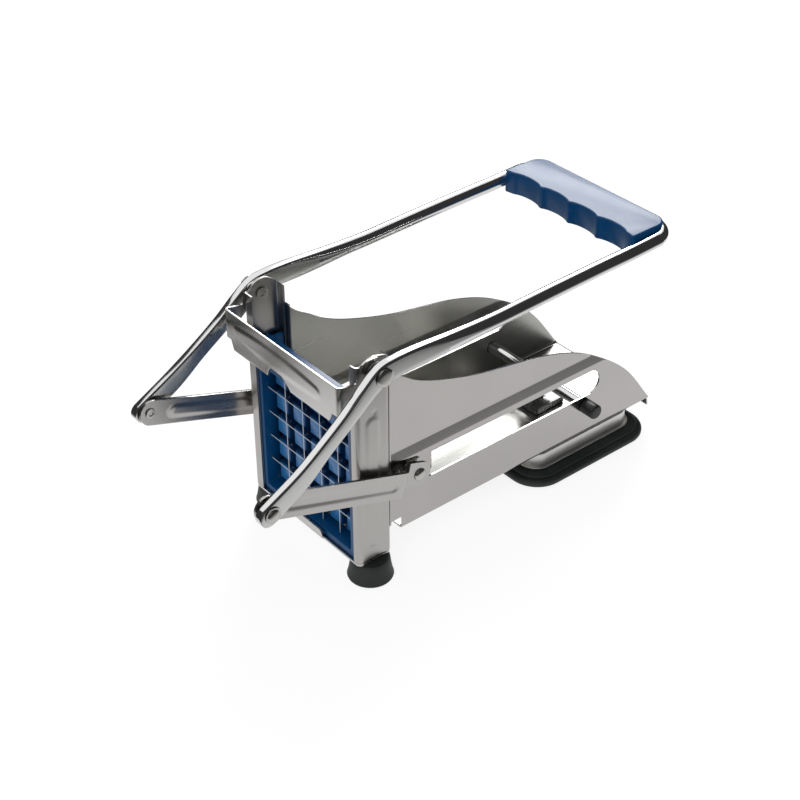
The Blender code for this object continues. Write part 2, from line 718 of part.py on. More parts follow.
def build_chute():
    """Folded chute: floor, stepped walls with slots, front flanges and rear lip."""
    half_path = ((CHUTE_HALF_WIDTH, CHUTE_TOP + OVERRUN), (CHUTE_HALF_WIDTH, WALL_START),
                 (STRIP_HALF_WIDTH, STRIP_TOP), (STRIP_HALF_WIDTH, CHUTE_UNDERSIDE))
    path = [(-y, z) for y, z in half_path] + [(y, z) for y, z in half_path[::-1]]
    section = sheet_outline(path, CHUTE_SHEET, CHUTE_BEND)
    start = CHUTE_FRONT + CHUTE_SHEET / 2
    chute = plate("chute", [section], CHUTE_REAR - start, "YZ", start)
    across = 2 * (STRIP_HALF_WIDTH + OVERRUN)
    below = CHUTE_UNDERSIDE - OVERRUN
    side = [Vector((CHUTE_FRONT - OVERRUN, below)), Vector((CHUTE_REAR + OVERRUN, below)),
            Vector((CHUTE_REAR + OVERRUN, wall_top()[-1].y))]
    side += wall_top()[::-1] + [Vector((CHUTE_FRONT - OVERRUN, CHUTE_TOP))]
    combine(chute, plate("chute_side", [side], across, "XZ", -across / 2), "INTERSECT")
    slot = rounded_rectangle(SLOT_FRONT, PIN_HEIGHT - SLOT_HALF_HEIGHT, SLOT_REAR,
                             PIN_HEIGHT + SLOT_HALF_HEIGHT,
                             SLOT_HALF_HEIGHT * ROUND_END_SHARE)
    combine(chute, plate("chute_slot", [slot], across, "XZ", -across / 2))
    notch = box("chute_notch", (CHUTE_FRONT - OVERRUN, -across / 2, below),
                (FLOOR_START, across / 2, NOTCH_TOP))
    combine(chute, notch)
    combine(chute, cross_hole("chute_shaft_hole", SHAFT, SHAFT_RADIUS + FIT))
    stud = Vector((PAD_SETBACK, 0.0, CHUTE_FLOOR))
    drop = Vector((0.0, 0.0, OVERRUN))
    combine(chute, rod("chute_stud_hole", STUD_RADIUS + FIT, stud - drop, stud + drop))
    for name, side in SIDES:
        flange = build_flange("chute_flange_" + name)
        if side < 0:
            flange.data.transform(Matrix.Diagonal((1.0, -1.0, 1.0, 1.0)))
            flange.data.flip_normals()
        combine(chute, flange, "UNION")
    lip_path = ((CHUTE_REAR + REAR_LIP_LEAN + CHUTE_SHEET, CHUTE_FLOOR - REAR_LIP_DROP),
                (CHUTE_REAR + CHUTE_SHEET, CHUTE_FLOOR), (CHUTE_REAR - REAR_LIP_OVERLAP, CHUTE_FLOOR))
    lip = sheet_outline(lip_path, CHUTE_SHEET, CHUTE_BEND)
    lip_half = STRIP_HALF_WIDTH - CHUTE_BEND
    combine(chute, plate("chute_rear_lip", [lip], 2 * lip_half, "XZ", -lip_half), "UNION")
    return fixed(chute)


# Cassette and blades

def blade_places():
    """Middle lines of the upright blades (y) and the level blades (z)."""
    upright = [CELL_WIDTH * step - OPENING_HALF_WIDTH for step in range(1, CELLS_ACROSS)]
    level = [CELL_HEIGHT * step + OPENING_BOTTOM for step in range(1, CELLS_UP)]
    return upright, level


def build_cassette():
    """Cassette frame with side runners and seats for the blades' ends."""
    rim = rounded_rectangle(-CASSETTE_HALF_WIDTH, POST_FOOT, CASSETTE_HALF_WIDTH, CASSETTE_TOP,
                            CASSETTE_CORNER)
    opening = rounded_rectangle(-OPENING_HALF_WIDTH, OPENING_BOTTOM, OPENING_HALF_WIDTH, OPENING_TOP,
                                OPENING_CORNER)
    frame = plate("cassette_frame", [rim, opening], CASSETTE_DEPTH, "YZ", CASSETTE_FRONT, CASSETTE_EDGE)
    outer = CASSETTE_HALF_WIDTH - RUNNER_INSET
    rear = POST_REAR - POST_SHEET - FIT
    for name, side in SIDES:
        ends = sorted((side * (outer - RUNNER_WIDTH), side * outer))
        low = (BLADE_FRONT, ends[0], POST_FOOT + CASSETTE_CORNER)
        high = (rear, ends[1], CASSETTE_TOP - CASSETTE_CORNER)
        combine(frame, box("cassette_runner_" + name, low, high), "UNION")
    upright, level = blade_places()
    slack = BLADE_SHEET / 2 + FIT
    reach = BLADE_SEAT + FIT
    for index, y in enumerate(upright):
        low = (BLADE_FRONT - FIT, y - slack, OPENING_BOTTOM - reach)
        high = (CASSETTE_REAR + OVERRUN, y + slack, OPENING_TOP + reach)
        combine(frame, box("upright_seat_%d" % (index + 1), low, high))
    for index, z in enumerate(level):
        low = (BLADE_FRONT - BLADE_STEP - FIT, -OPENING_HALF_WIDTH - reach, z - slack)
        high = (CASSETTE_REAR + OVERRUN, OPENING_HALF_WIDTH + reach, z + slack)
        combine(frame, box("level_seat_%d" % (index + 1), low, high))
    return fixed(frame)


def comb(start, end, low, high, notches, notch_from_low):
    """Outline of a strip with half-lap notches along one of its edges."""
    lap = (BLADE_FRONT + BLADE_REAR) / 2
    half = BLADE_SHEET / 2 + FIT
    edge, floor = (low, lap + FIT / 2) if notch_from_low else (high, lap - BLADE_STEP - FIT / 2)
    toothed = [(edge, start)]
    for place in notches:
        toothed += [(edge, place - half), (floor, place - half), (floor, place + half), (edge, place + half)]
    toothed.append((edge, end))
    back = high if notch_from_low else low
    outline = toothed + [(back, end), (back, start)]
    return [Vector(point) for point in outline]


def build_blades():
    """Grid of upright and level blades, half-lapped where they cross."""
    upright, level = blade_places()
    blades = []
    for index, y in enumerate(upright):
        outline = comb(OPENING_BOTTOM - BLADE_SEAT, OPENING_TOP + BLADE_SEAT, BLADE_FRONT, BLADE_REAR,
                       level, True)
        blades.append(plate("blade_upright_%d" % (index + 1), [outline], BLADE_SHEET, "XZ",
                            y - BLADE_SHEET / 2))
    reach = OPENING_HALF_WIDTH + BLADE_SEAT
    for index, z in enumerate(level):
        front, rear = BLADE_FRONT - BLADE_STEP, BLADE_REAR - BLADE_STEP
        outline = comb(-reach, reach, front, rear, upright, False)
        blades.append(plate("blade_level_%d" % (index + 1), [outline], BLADE_SHEET, "XY",
                            z - BLADE_SHEET / 2))
    return blades


# Pusher

def build_finger(name, y, z):
    """One square finger that narrows towards its tip."""
    half_width = CELL_WIDTH / 2 - FINGER_ROOT_GAP
    half_height = CELL_HEIGHT / 2 - FINGER_ROOT_GAP
    root = FINGER_TIP + FINGER_LENGTH + PUSHER_BASE / 2
    finger = box(name, (FINGER_TIP, y - half_width, z - half_height),
                 (root, y + half_width, z + half_height))
    for vertex in finger.data.vertices:
        if vertex.co.x < root - WELD:
            vertex.co.y = y + (vertex.co.y - y) * FINGER_TIP_SHARE
            vertex.co.z = z + (vertex.co.z - z) * FINGER_TIP_SHARE
    return finger


def screw_places():
    """Where the four screws hold the pusher's block to its plate (y, z)."""
    middle = OPENING_BOTTOM + CELL_HEIGHT * CELLS_UP / 2
    return [(side * CELL_WIDTH, middle + up * CELL_HEIGHT) for up in (-1, 1) for side in (1, -1)]


def build_pusher_block():
    """Plastic block with one finger for each cell of the grid."""
    rim = rounded_rectangle(-PUSHER_HALF_WIDTH, PUSHER_BOTTOM, PUSHER_HALF_WIDTH, PUSHER_TOP, PUSHER_CORNER)
    block = plate("pusher_block", [rim], PUSHER_BASE, "YZ", FINGER_TIP + FINGER_LENGTH)
    for row in range(CELLS_UP):
        for column in range(CELLS_ACROSS):
            y = CELL_WIDTH * (column + 0.5) - OPENING_HALF_WIDTH
            z = CELL_HEIGHT * (row + 0.5) + OPENING_BOTTOM
            combine(block, build_finger("finger_%d_%d" % (row + 1, column + 1), y, z), "UNION")
    for index, (y, z) in enumerate(screw_places()):
        start = (PUSHER_REAR - PUSHER_SCREW_REACH - FIT, y, z)
        combine(block, rod("block_screw_hole_%d" % (index + 1), PUSHER_SCREW_RADIUS + FIT, start,
                           (PUSHER_REAR + OVERRUN, y, z)))
    return fixed(block)


def build_pusher_plate():
    """Steel plate behind the block, with two ears bent back for the pins."""
    path = ((EAR_REAR, EAR_OUTER), (PLATE_FRONT, EAR_OUTER), (PLATE_FRONT, -EAR_OUTER),
            (EAR_REAR, -EAR_OUTER))
    section = sheet_outline(path, PUSHER_SHEET, EAR_BEND)
    bottom, top = PUSHER_BOTTOM, PUSHER_TOP - PLATE_MARGIN
    body = plate("pusher_plate", [section], top - bottom, "XY", bottom)
    ear = round_corners([(PLATE_REAR, PIN_HEIGHT - EAR_HALF_HEIGHT, EAR_CORNER / 2),
                         (EAR_REAR, PIN_HEIGHT - EAR_HALF_HEIGHT, EAR_CORNER),
                         (EAR_REAR, PIN_HEIGHT + EAR_HALF_HEIGHT, EAR_CORNER),
                         (PLATE_REAR, PIN_HEIGHT + EAR_HALF_HEIGHT, EAR_CORNER / 2),
                         (PLATE_REAR, top + OVERRUN, 0.0), (PLATE_FRONT - OVERRUN, top + OVERRUN, 0.0),
                         (PLATE_FRONT - OVERRUN, bottom - OVERRUN, 0.0),
                         (PLATE_REAR, bottom - OVERRUN, 0.0)])
    across = EAR_OUTER + OVERRUN
    combine(body, plate("pusher_plate_side", [ear], 2 * across, "XZ", -across), "INTERSECT")
    combine(body, cross_hole("pusher_plate_pin_hole", PUSHER_PIN, PIN_RADIUS + FIT))
    for index, (y, z) in enumerate(screw_places()):
        combine(body, rod("plate_screw_hole_%d" % (index + 1), PUSHER_SCREW_RADIUS + FIT,
                          (PLATE_FRONT - OVERRUN, y, z), (PLATE_REAR + OVERRUN, y, z)))
    return fixed(body)


def build_pusher_screws():
    """Low-headed screws from the plate into the block."""
    screws = []
    head = PLATE_REAR + FIT
    profile = ((0.0, head + PUSHER_SCREW_HEAD),
               (PUSHER_SCREW_HEAD_RADIUS * PUSHER_SCREW_RIM_SHARE, head + PUSHER_SCREW_HEAD),
               (PUSHER_SCREW_HEAD_RADIUS, head), (PUSHER_SCREW_RADIUS, head),
               (PUSHER_SCREW_RADIUS, PUSHER_REAR - PUSHER_SCREW_REACH),
               (0.0, PUSHER_REAR - PUSHER_SCREW_REACH))
    for index, (y, z) in enumerate(screw_places()):
        screw = turned("pusher_screw_%d" % (index + 1), profile)
        screw.data.transform(Matrix.Rotation(math.pi / 2, 4, "Y"))
        screw.location = (0.0, y, z)
        screws.append(screw)
    return screws


def build_pusher_pin(name):
    """Left pin: held in the ear, with a shoulder in the slot and the link's eye outside."""
    ear_inner = EAR_OUTER - PUSHER_SHEET
    inner = ear_inner - FIT
    outer = LINK_EYE_OUTER + FIT
    shoulder_in = EAR_OUTER + FIT
    shoulder_out = LINK_EYE_HALF_SPAN - FIT
    profile = dome(PIN_HEAD_RADIUS, outer, PIN_HEAD)
    profile += [(PIN_RADIUS, outer), (PIN_RADIUS, shoulder_out), (PIN_SHOULDER_RADIUS, shoulder_out),
                (PIN_SHOULDER_RADIUS, shoulder_in), (PIN_RADIUS, shoulder_in), (PIN_RADIUS, inner),
                (PIN_HEAD_RADIUS, inner), (PIN_HEAD_RADIUS, inner - PIN_HEAD), (0.0, inner - PIN_HEAD)]
    return pin_across(name, profile, PUSHER_PIN)


# Links and handle

def build_link(name):
    """Left link, laid along -x from its rear eye and then turned to its angle."""
    half = LINK_WIDTH / 2
    path = ((half, LINK_EYE_HALF_SPAN), (-LINK_EYE_RUN, LINK_EYE_HALF_SPAN),
            (-LINK_JOGGLE_RUN, LINK_HALF_SPAN),
            (-LINK_LENGTH - half, LINK_HALF_SPAN))
    section = sheet_outline(path[::-1], LINK_SHEET, LINK_BEND)
    link = plate(name, [section], LINK_WIDTH, "XY", -half)
    side = rounded_rectangle(-LINK_LENGTH - half, -half, half, half, half * ROUND_END_SHARE,
                             2 * CORNER_STEPS)
    combine(link, plate(name + "_side", [side], LINK_OUTER + OVERRUN, "XZ", 0.0), "INTERSECT")
    rib = LINK_RIB_WIDTH / 2
    channel = rounded_rectangle(-LINK_LENGTH + LINK_RIB_MARGIN, -rib, -LINK_JOGGLE_RUN - LINK_RIB_WIDTH, rib,
                                rib * ROUND_END_SHARE)
    combine(link, plate(name + "_channel", [channel], LINK_RIB_DEPTH + OVERRUN, "XZ",
                        LINK_OUTER - LINK_RIB_DEPTH))
    for place, radius in ((0.0, PIN_RADIUS), (-LINK_LENGTH, CRANK_RIVET_RADIUS)):
        hole = rod(name + "_hole", radius + FIT, (place, 0.0, 0.0), (place, LINK_OUTER + OVERRUN, 0.0))
        combine(link, hole)
    fixed(link)
    link.location = PUSHER_PIN
    link.rotation_euler = (0.0, LINK_ANGLE, 0.0)
    return link


def build_link_tail(name):
    """Left crank rivet's inner part, which stays in the link."""
    inner = LINK_HALF_SPAN - FIT
    profile = ((0.0, LINK_OUTER), (CRANK_RIVET_RADIUS, LINK_OUTER), (CRANK_RIVET_RADIUS, inner),
               (TAIL_HEAD_RADIUS, inner), (TAIL_HEAD_RADIUS, inner - TAIL_HEAD), (0.0, inner - TAIL_HEAD))
    return pin_across(name, profile, CRANK)


def build_crank_rivet(name):
    """Left crank rivet's outer part, which stays in the handle's arm."""
    outer = CRANK_OUTER + FIT
    shoulder = CRANK_INNER - FIT
    end = LINK_OUTER + FIT
    profile = dome(CRANK_HEAD_RADIUS, outer, CRANK_HEAD)
    profile += [(CRANK_RIVET_RADIUS, outer), (CRANK_RIVET_RADIUS, shoulder),
                (CRANK_SHOULDER_RADIUS, shoulder),
                (CRANK_SHOULDER_RADIUS, end), (0.0, end)]
    return pin_across(name, profile, CRANK)


def build_pivot_bolt(name):
    """Left pivot bolt: domed head outside the arm, tail inside the post."""
    outer = ARM_OUTER + FIT
    inner = WEB_INNER - FIT
    profile = dome(PIVOT_HEAD_RADIUS, outer, PIVOT_HEAD)
    profile += [(PIVOT_RADIUS, outer), (PIVOT_RADIUS, inner), (PIVOT_TAIL_RADIUS, inner),
                (PIVOT_TAIL_RADIUS, inner - PIVOT_TAIL), (0.0, inner - PIVOT_TAIL)]
    return pin_across(name, profile, PIVOT)


def build_pivot_spacer(name):
    """Left spacer between the strap's ear and the handle's arm."""
    outer = ARM_INNER - FIT
    inner = STRAP_OUTER + FIT
    bore = PIVOT_RADIUS + FIT
    profile = ((bore, outer), (SPACER_RADIUS, outer), (SPACER_RADIUS, inner), (bore, inner))
    spacer = turned(name, profile, closed=True)
    spacer.data.transform(Matrix.Rotation(-math.pi / 2, 4, "X"))
    spacer.location = PIVOT
    return spacer


def handle_stations(clearance=0.0):
    """Left half of the handle from the cross bar's middle to the arm's end.

    Each station is (centre, half depth, half thickness, squareness).
    """
    reach = CROSS_BAR_SETBACK
    height = PIVOT_HEIGHT
    tube = TUBE_RADIUS + clearance
    arm_depth = ARM_DEPTH / 2 + clearance
    arm_half = ARM_THICKNESS / 2 + clearance
    end_half = ARM_END_THICKNESS / 2 + clearance
    stations = [(Vector((reach, 0.0, height + reach * REAR_RUN_SHARES[0][1])), tube, tube, ROUND_POWER)]
    middle = Vector((reach - TUBE_CORNER, TUBE_HALF_SPAN - TUBE_CORNER, stations[0][0].z))
    for step in range(CORNER_STATIONS + 1):
        angle = math.pi / 2 * step / CORNER_STATIONS
        spoke = Vector((math.cos(angle), math.sin(angle), 0.0)) * TUBE_CORNER
        stations.append((middle + spoke, tube, tube, ROUND_POWER))
    for along, up in REAR_RUN_SHARES[1:]:
        stations.append((Vector((reach * along, TUBE_HALF_SPAN, height + reach * up)), tube, tube,
                         ROUND_POWER))
    for along, up in FLAT_RUN_SHARES:
        centre = Vector((reach * along, TUBE_HALF_SPAN, height + reach * up))
        stations.append((centre, arm_depth, arm_half, FLAT_POWER))
    hub = PIVOT + Vector((0.0, TUBE_HALF_SPAN, 0.0))
    kink = Vector((KINK_SETBACK, CRANK_HALF_SPAN, KINK_HEIGHT))
    stations.append((hub, PIVOT_DEPTH / 2 + clearance, arm_half, FLAT_POWER))
    for along in ARM_RUN_SHARES:
        stations.append((hub.lerp(kink, along), arm_depth, arm_half, FLAT_POWER))
    stations.append((kink, ARM_END_RADIUS, end_half, END_POWER))
    end = CRANK + Vector((0.0, CRANK_HALF_SPAN, 0.0))
    run = (end - kink).normalized()
    for step in range(CORNER_STEPS + 1):
        angle = math.pi / 2 * step / (CORNER_STEPS + 0.5)
        centre = end + run * (ARM_TIP_REACH + ARM_END_RADIUS * math.sin(angle))
        stations.append((centre, ARM_END_RADIUS * math.cos(angle) + clearance, end_half, END_POWER))
    return stations


def superellipse(angle, power):
    """Unit point of a rounded square at an angle."""
    x, y = math.cos(angle), math.sin(angle)
    return math.copysign(abs(x) ** (2 / power), x), math.copysign(abs(y) ** (2 / power), y)


def build_tube(name, clearance=0.0):
    """Handle tube: rings along its path, joined from round to flat, then mirrored."""
    stations = handle_stations(clearance)
    shape = bmesh.new()
    rings = []
    for index, (centre, half_depth, half_thickness, power) in enumerate(stations):
        before = stations[max(index - 1, 0)][0]
        after = stations[min(index + 1, len(stations) - 1)][0]
        along = (after - before).normalized() if index else Vector((0.0, 1.0, 0.0))
        across = along.cross(Vector((0.0, 0.0, 1.0))).normalized()
        up = across.cross(along)
        ring = []
        for side in range(TUBE_SIDES):
            x, y = superellipse(2 * math.pi * side / TUBE_SIDES, power)
            ring.append(shape.verts.new(centre + up * (x * half_depth) + across * (y * half_thickness)))
        rings.append(ring)
    for first, second in zip(rings, rings[1:]):
        for side in range(TUBE_SIDES):
            after = (side + 1) % TUBE_SIDES
            shape.faces.new((first[side], first[after], second[after], second[side]))
    shape.faces.new(rings[-1])
    bmesh.ops.recalc_face_normals(shape, faces=shape.faces)
    mesh = bpy.data.meshes.new(name)
    shape.to_mesh(mesh)
    shape.free()
    tube = mesh_object(name, mesh)
    twin = tube.modifiers.new("Twin", "MIRROR")
    twin.use_axis = (False, True, False)
    twin.merge_threshold = WELD
    tube_mesh = evaluated_mesh(tube)
    bpy.data.objects.remove(tube, do_unlink=True)
    return closed_mesh(name, tube_mesh)


def build_handle():
    """Handle tube with the holes for its pivot bolts and crank rivets."""
    handle = build_tube("handle_tube")
    combine(handle, cross_hole("handle_pivot_hole", PIVOT, PIVOT_RADIUS + FIT))
    combine(handle, cross_hole("handle_crank_hole", CRANK, CRANK_RIVET_RADIUS + FIT))
    return set_origin(fixed(handle), PIVOT)


def grip_front():
    """Front edge of the grip: shallow hollows for the fingers between horns."""
    points = []
    half = FINGER_PITCH * FINGER_HOLLOWS / 2
    for hollow in range(FINGER_HOLLOWS):
        start = half - FINGER_PITCH * hollow
        for step in range(2 * CORNER_STEPS):
            t = (step + 0.5) / (2 * CORNER_STEPS)
            depth = HOLLOW_DEPTH * math.sqrt(math.sin(math.pi * t))
            points.append(Vector((GRIP_FRONT + depth, start - FINGER_PITCH * t)))
    return points


def build_grip():
    """Moulded grip with finger hollows, let into the tube at its sides and rear."""
    rear = round_corners([(GRIP_FRONT, -GRIP_HALF_WIDTH, HORN_WIDTH / 2),
                          (GRIP_REAR, -GRIP_HALF_WIDTH, GRIP_CORNER),
                          (GRIP_REAR, GRIP_HALF_WIDTH, GRIP_CORNER),
                          (GRIP_FRONT, GRIP_HALF_WIDTH, HORN_WIDTH / 2)])
    grip = plate("handle_grip", [rear + grip_front()], GRIP_TOP - GRIP_BOTTOM, "XY", GRIP_BOTTOM, GRIP_EDGE)
    combine(grip, build_tube("grip_tube_groove", FIT))
    return set_origin(fixed(grip), PIVOT)


# Strap

def build_strap():
    """Strap across the front: a notched bar with arms back to the pivots."""
    rear = PIVOT_SETBACK + STRAP_EAR_RADIUS
    path = ((rear, STRAP_OUTER), (STRAP_FRONT, STRAP_OUTER), (STRAP_FRONT, -STRAP_OUTER),
            (rear, -STRAP_OUTER))
    section = sheet_outline(path, STRAP_SHEET, STRAP_BEND)
    top = PIVOT_HEIGHT + STRAP_EAR_RADIUS
    strap = plate("cassette_strap", [section], top - STRAP_BOTTOM, "XY", STRAP_BOTTOM)
    back = STRAP_FRONT + STRAP_BEND
    ear = STRAP_EAR_RADIUS
    side = round_corners([(STRAP_FRONT - OVERRUN, STRAP_BOTTOM - OVERRUN, 0.0),
                          (back, STRAP_BOTTOM - OVERRUN, 0.0),
                          (back, STRAP_ARM_FOOT, 0.0), (PIVOT_SETBACK - ear, PIVOT_HEIGHT - ear, ear),
                          (PIVOT_SETBACK + ear, PIVOT_HEIGHT - ear, ear * ROUND_END_SHARE),
                          (PIVOT_SETBACK + ear, PIVOT_HEIGHT + ear, ear * ROUND_END_SHARE),
                          (PIVOT_SETBACK - ear, PIVOT_HEIGHT + ear, ear * STRAP_EAR_FRONT_SHARE),
                          (STRAP_WAIST_SETBACK, STRAP_WAIST, STRAP_CORNER),
                          (STRAP_FRONT + STRAP_BEND, STRAP_TOP, STRAP_CORNER),
                          (STRAP_FRONT - OVERRUN, STRAP_TOP, 0.0)])
    across = STRAP_OUTER + OVERRUN
    combine(strap, plate("strap_side", [side], 2 * across, "XZ", -across), "INTERSECT")
    below = STRAP_BOTTOM - OVERRUN
    notch = round_corners([(-STRAP_NOTCH_FOOT_HALF_WIDTH, below, 0.0),
                           (STRAP_NOTCH_FOOT_HALF_WIDTH, below, 0.0),
                           (STRAP_NOTCH_HALF_WIDTH, STRAP_NOTCH_TOP, STRAP_CORNER),
                           (-STRAP_NOTCH_HALF_WIDTH, STRAP_NOTCH_TOP, STRAP_CORNER)])
    start = STRAP_FRONT - OVERRUN
    depth = STRAP_BEND + OVERRUN
    combine(strap, plate("strap_notch", [notch], depth, "YZ", start))
    for name, hand in SIDES:
        corners = ((STRAP_END_INNER, below), (across, below), (across, STRAP_END_TOP),
                   (STRAP_END_OUTER, STRAP_END_TOP))
        step = [Vector((hand * y, z)) for y, z in corners]
        combine(strap, plate("strap_step_" + name, [step], depth, "YZ", start))
    combine(strap, cross_hole("strap_pivot_hole", PIVOT, PIVOT_RADIUS + FIT))
    return set_origin(fixed(strap), PIVOT)


# Suction foot

def centred_rectangle(length, half_width, corner):
    """Rounded rectangle about the pad's centre."""
    low, high = PAD_SETBACK - length / 2, PAD_SETBACK + length / 2
    return rounded_rectangle(low, -half_width, high, half_width, corner, 2 * CORNER_STEPS)


def pad_axis(low, high, radius, name):
    """Upright round cutter on the pad's centre line."""
    return rod(name, radius, (PAD_SETBACK, 0.0, low), (PAD_SETBACK, 0.0, high))


def build_pad():
    """Rubber suction pad with a flat underside and a socket for the stud's foot."""
    outline = centred_rectangle(PAD_LENGTH, PAD_HALF_WIDTH, PAD_CORNER)
    pad = plate("suction_pad", [outline], PAD_TOP, "XY", 0.0)
    soft = pad.modifiers.new("Edge", "BEVEL")
    soft.width = PAD_EDGE
    soft.segments = 3
    soft.limit_method = "ANGLE"
    soft.angle_limit = PAD_EDGE_ANGLE
    combine(pad, pad_axis(STUD_FOOT_BASE - FIT, PAD_TOP + OVERRUN, STUD_FOOT_RADIUS + FIT, "pad_socket"))
    return fixed(pad)


def build_housing():
    """Pressed steel box between the pad and the chute, with a rim round its foot."""
    outline = centred_rectangle(HOUSING_LENGTH, HOUSING_HALF_WIDTH, HOUSING_CORNER)
    housing = plate("suction_housing", [outline], HOUSING_TOP - HOUSING_BOTTOM, "XY", HOUSING_BOTTOM,
                    HOUSING_EDGE)
    wide = centred_rectangle(HOUSING_LENGTH + 2 * HOUSING_RIM, HOUSING_HALF_WIDTH + HOUSING_RIM,
                             HOUSING_CORNER + HOUSING_RIM)
    rim = plate("housing_rim", [wide], HOUSING_RIM_HEIGHT + FIT, "XY", HOUSING_BOTTOM)
    combine(housing, rim, "UNION")
    room = STUD_FOOT_BASE + STUD_FOOT_HEIGHT + STUD_RISE + FIT
    combine(housing, pad_axis(HOUSING_BOTTOM - OVERRUN, room, STUD_FOOT_RADIUS + FIT, "housing_counterbore"))
    combine(housing, pad_axis(HOUSING_BOTTOM, HOUSING_TOP + OVERRUN, STUD_RADIUS + FIT, "housing_bore"))
    return fixed(housing)


def build_guide():
    """Bush on the chute's floor that guides the stud."""
    half = GUIDE_SIZE / 2
    bottom = CHUTE_FLOOR + FIT
    outline = rounded_rectangle(PAD_SETBACK - half, -half, PAD_SETBACK + half, half, GUIDE_EDGE)
    bore = circle(PAD_SETBACK, 0.0, STUD_RADIUS + FIT)
    return plate("stud_guide", [outline, bore], GUIDE_HEIGHT, "XY", bottom)


def build_stud():
    """Stud that lifts the pad: a foot in the pad, a rod and a slotted yoke round the cam."""
    half_height = CAM_RADIUS + CAM_SLACK
    half_width = CAM_RADIUS + STUD_RISE + CAM_SLACK
    eye = rounded_rectangle(SHAFT_SETBACK - half_width, SHAFT_HEIGHT - half_height,
                            SHAFT_SETBACK + half_width, SHAFT_HEIGHT + half_height,
                            half_height * ROUND_END_SHARE)
    rim = rounded_rectangle(SHAFT_SETBACK - half_width - YOKE_WALL, SHAFT_HEIGHT - half_height - YOKE_WALL,
                            SHAFT_SETBACK + half_width + YOKE_WALL, SHAFT_HEIGHT + half_height + YOKE_WALL,
                            YOKE_CORNER)
    stud = plate("suction_stud", [rim, eye], 2 * YOKE_HALF_THICKNESS, "XZ", -YOKE_HALF_THICKNESS)
    top = SHAFT_HEIGHT - half_height - YOKE_WALL / 2
    combine(stud, pad_axis(STUD_FOOT_BASE + STUD_FOOT_HEIGHT / 2, top, STUD_RADIUS, "stud_rod"), "UNION")
    foot_top = STUD_FOOT_BASE + STUD_FOOT_HEIGHT
    combine(stud, pad_axis(STUD_FOOT_BASE, foot_top, STUD_FOOT_RADIUS, "stud_foot"), "UNION")
    return fixed(stud)


def build_shaft():
    """Cross shaft with a round cam, set off its axis, in the middle."""
    cam_half = YOKE_HALF_THICKNESS + 2 * FIT
    start = STRIP_HALF_WIDTH + FIT + SHAFT_SOCKET
    end = STRIP_HALF_WIDTH + FIT + LEVER_SHEET + FIT + LEVER_NUT
    cam = SHAFT + Vector((STUD_RISE, 0.0, 0.0))
    half = Vector((0.0, cam_half, 0.0))
    shaft = rod("cam_shaft", CAM_RADIUS, cam - half, cam + half)
    bite = Vector((0.0, YOKE_HALF_THICKNESS + FIT, 0.0))
    for name, side, reach in (("left", 1, end), ("right", -1, start)):
        tip = SHAFT + Vector((0.0, side * reach, 0.0))
        combine(shaft, rod("shaft_" + name, SHAFT_RADIUS, SHAFT + side * bite, tip), "UNION")
    return set_origin(fixed(shaft), SHAFT)


def build_cap():
    """Cap on the shaft's right end."""
    inner = STRIP_HALF_WIDTH + FIT
    outer = inner + CAP_LENGTH
    socket = inner + SHAFT_SOCKET + FIT
    bore = SHAFT_RADIUS + FIT
    profile = ((0.0, outer), (CAP_RADIUS - CAP_EDGE, outer), (CAP_RADIUS, outer - CAP_EDGE),
               (CAP_RADIUS, inner),
               (bore, inner), (bore, socket), (0.0, socket))
    cap = turned("shaft_cap", profile)
    cap.data.transform(Matrix.Rotation(math.pi / 2, 4, "X"))
    cap.location = SHAFT
    return cap


def build_lever():
    """Small lever on the shaft's left end, drooping forward, with a thumb tab."""
    start = STRIP_HALF_WIDTH + FIT
    lean = math.asin((LEVER_BOSS_RADIUS - LEVER_END_RADIUS) / LEVER_LENGTH)
    rim = []
    for step in range(2 * CORNER_STEPS + 1):
        angle = math.pi / 2 + lean - (math.pi + 2 * lean) * step / (2 * CORNER_STEPS)
        rim.append(Vector((math.cos(angle), math.sin(angle))) * LEVER_BOSS_RADIUS)
    for step in range(2 * CORNER_STEPS + 1):
        angle = -math.pi / 2 - lean - (math.pi - 2 * lean) * step / (2 * CORNER_STEPS)
        spoke = Vector((math.cos(angle), math.sin(angle))) * LEVER_END_RADIUS
        rim.append(spoke - Vector((LEVER_LENGTH, 0.0)))
    hole = circle(0.0, 0.0, SHAFT_RADIUS + FIT)
    lever = plate("suction_lever", [rim, hole], LEVER_SHEET, "XZ", start)
    tab_low = (-LEVER_LENGTH - LEVER_END_RADIUS / 2, start + LEVER_SHEET / 2, -LEVER_END_RADIUS / 2)
    tab_high = (-LEVER_LENGTH + LEVER_END_RADIUS / 2, start + LEVER_SHEET + LEVER_TAB, LEVER_END_RADIUS / 2)
    combine(lever, box("lever_tab", tab_low, tab_high), "UNION")
    fixed(lever)
    lever.location = SHAFT
    lever.rotation_euler = (0.0, -LEVER_DROOP, 0.0)
    return lever


def build_lever_nut():
    """Nut that holds the lever on its shaft."""
    inner = STRIP_HALF_WIDTH + FIT + LEVER_SHEET + FIT
    bore = SHAFT_RADIUS + FIT
    profile = ((bore, inner + LEVER_NUT), (LEVER_NUT_RADIUS, inner + LEVER_NUT), (LEVER_NUT_RADIUS, inner),
               (bore, inner))
    nut = turned("lever_nut", profile, closed=True)
    nut.data.transform(Matrix.Rotation(-math.pi / 2, 4, "X"))
    nut.location = SHAFT
    return nut


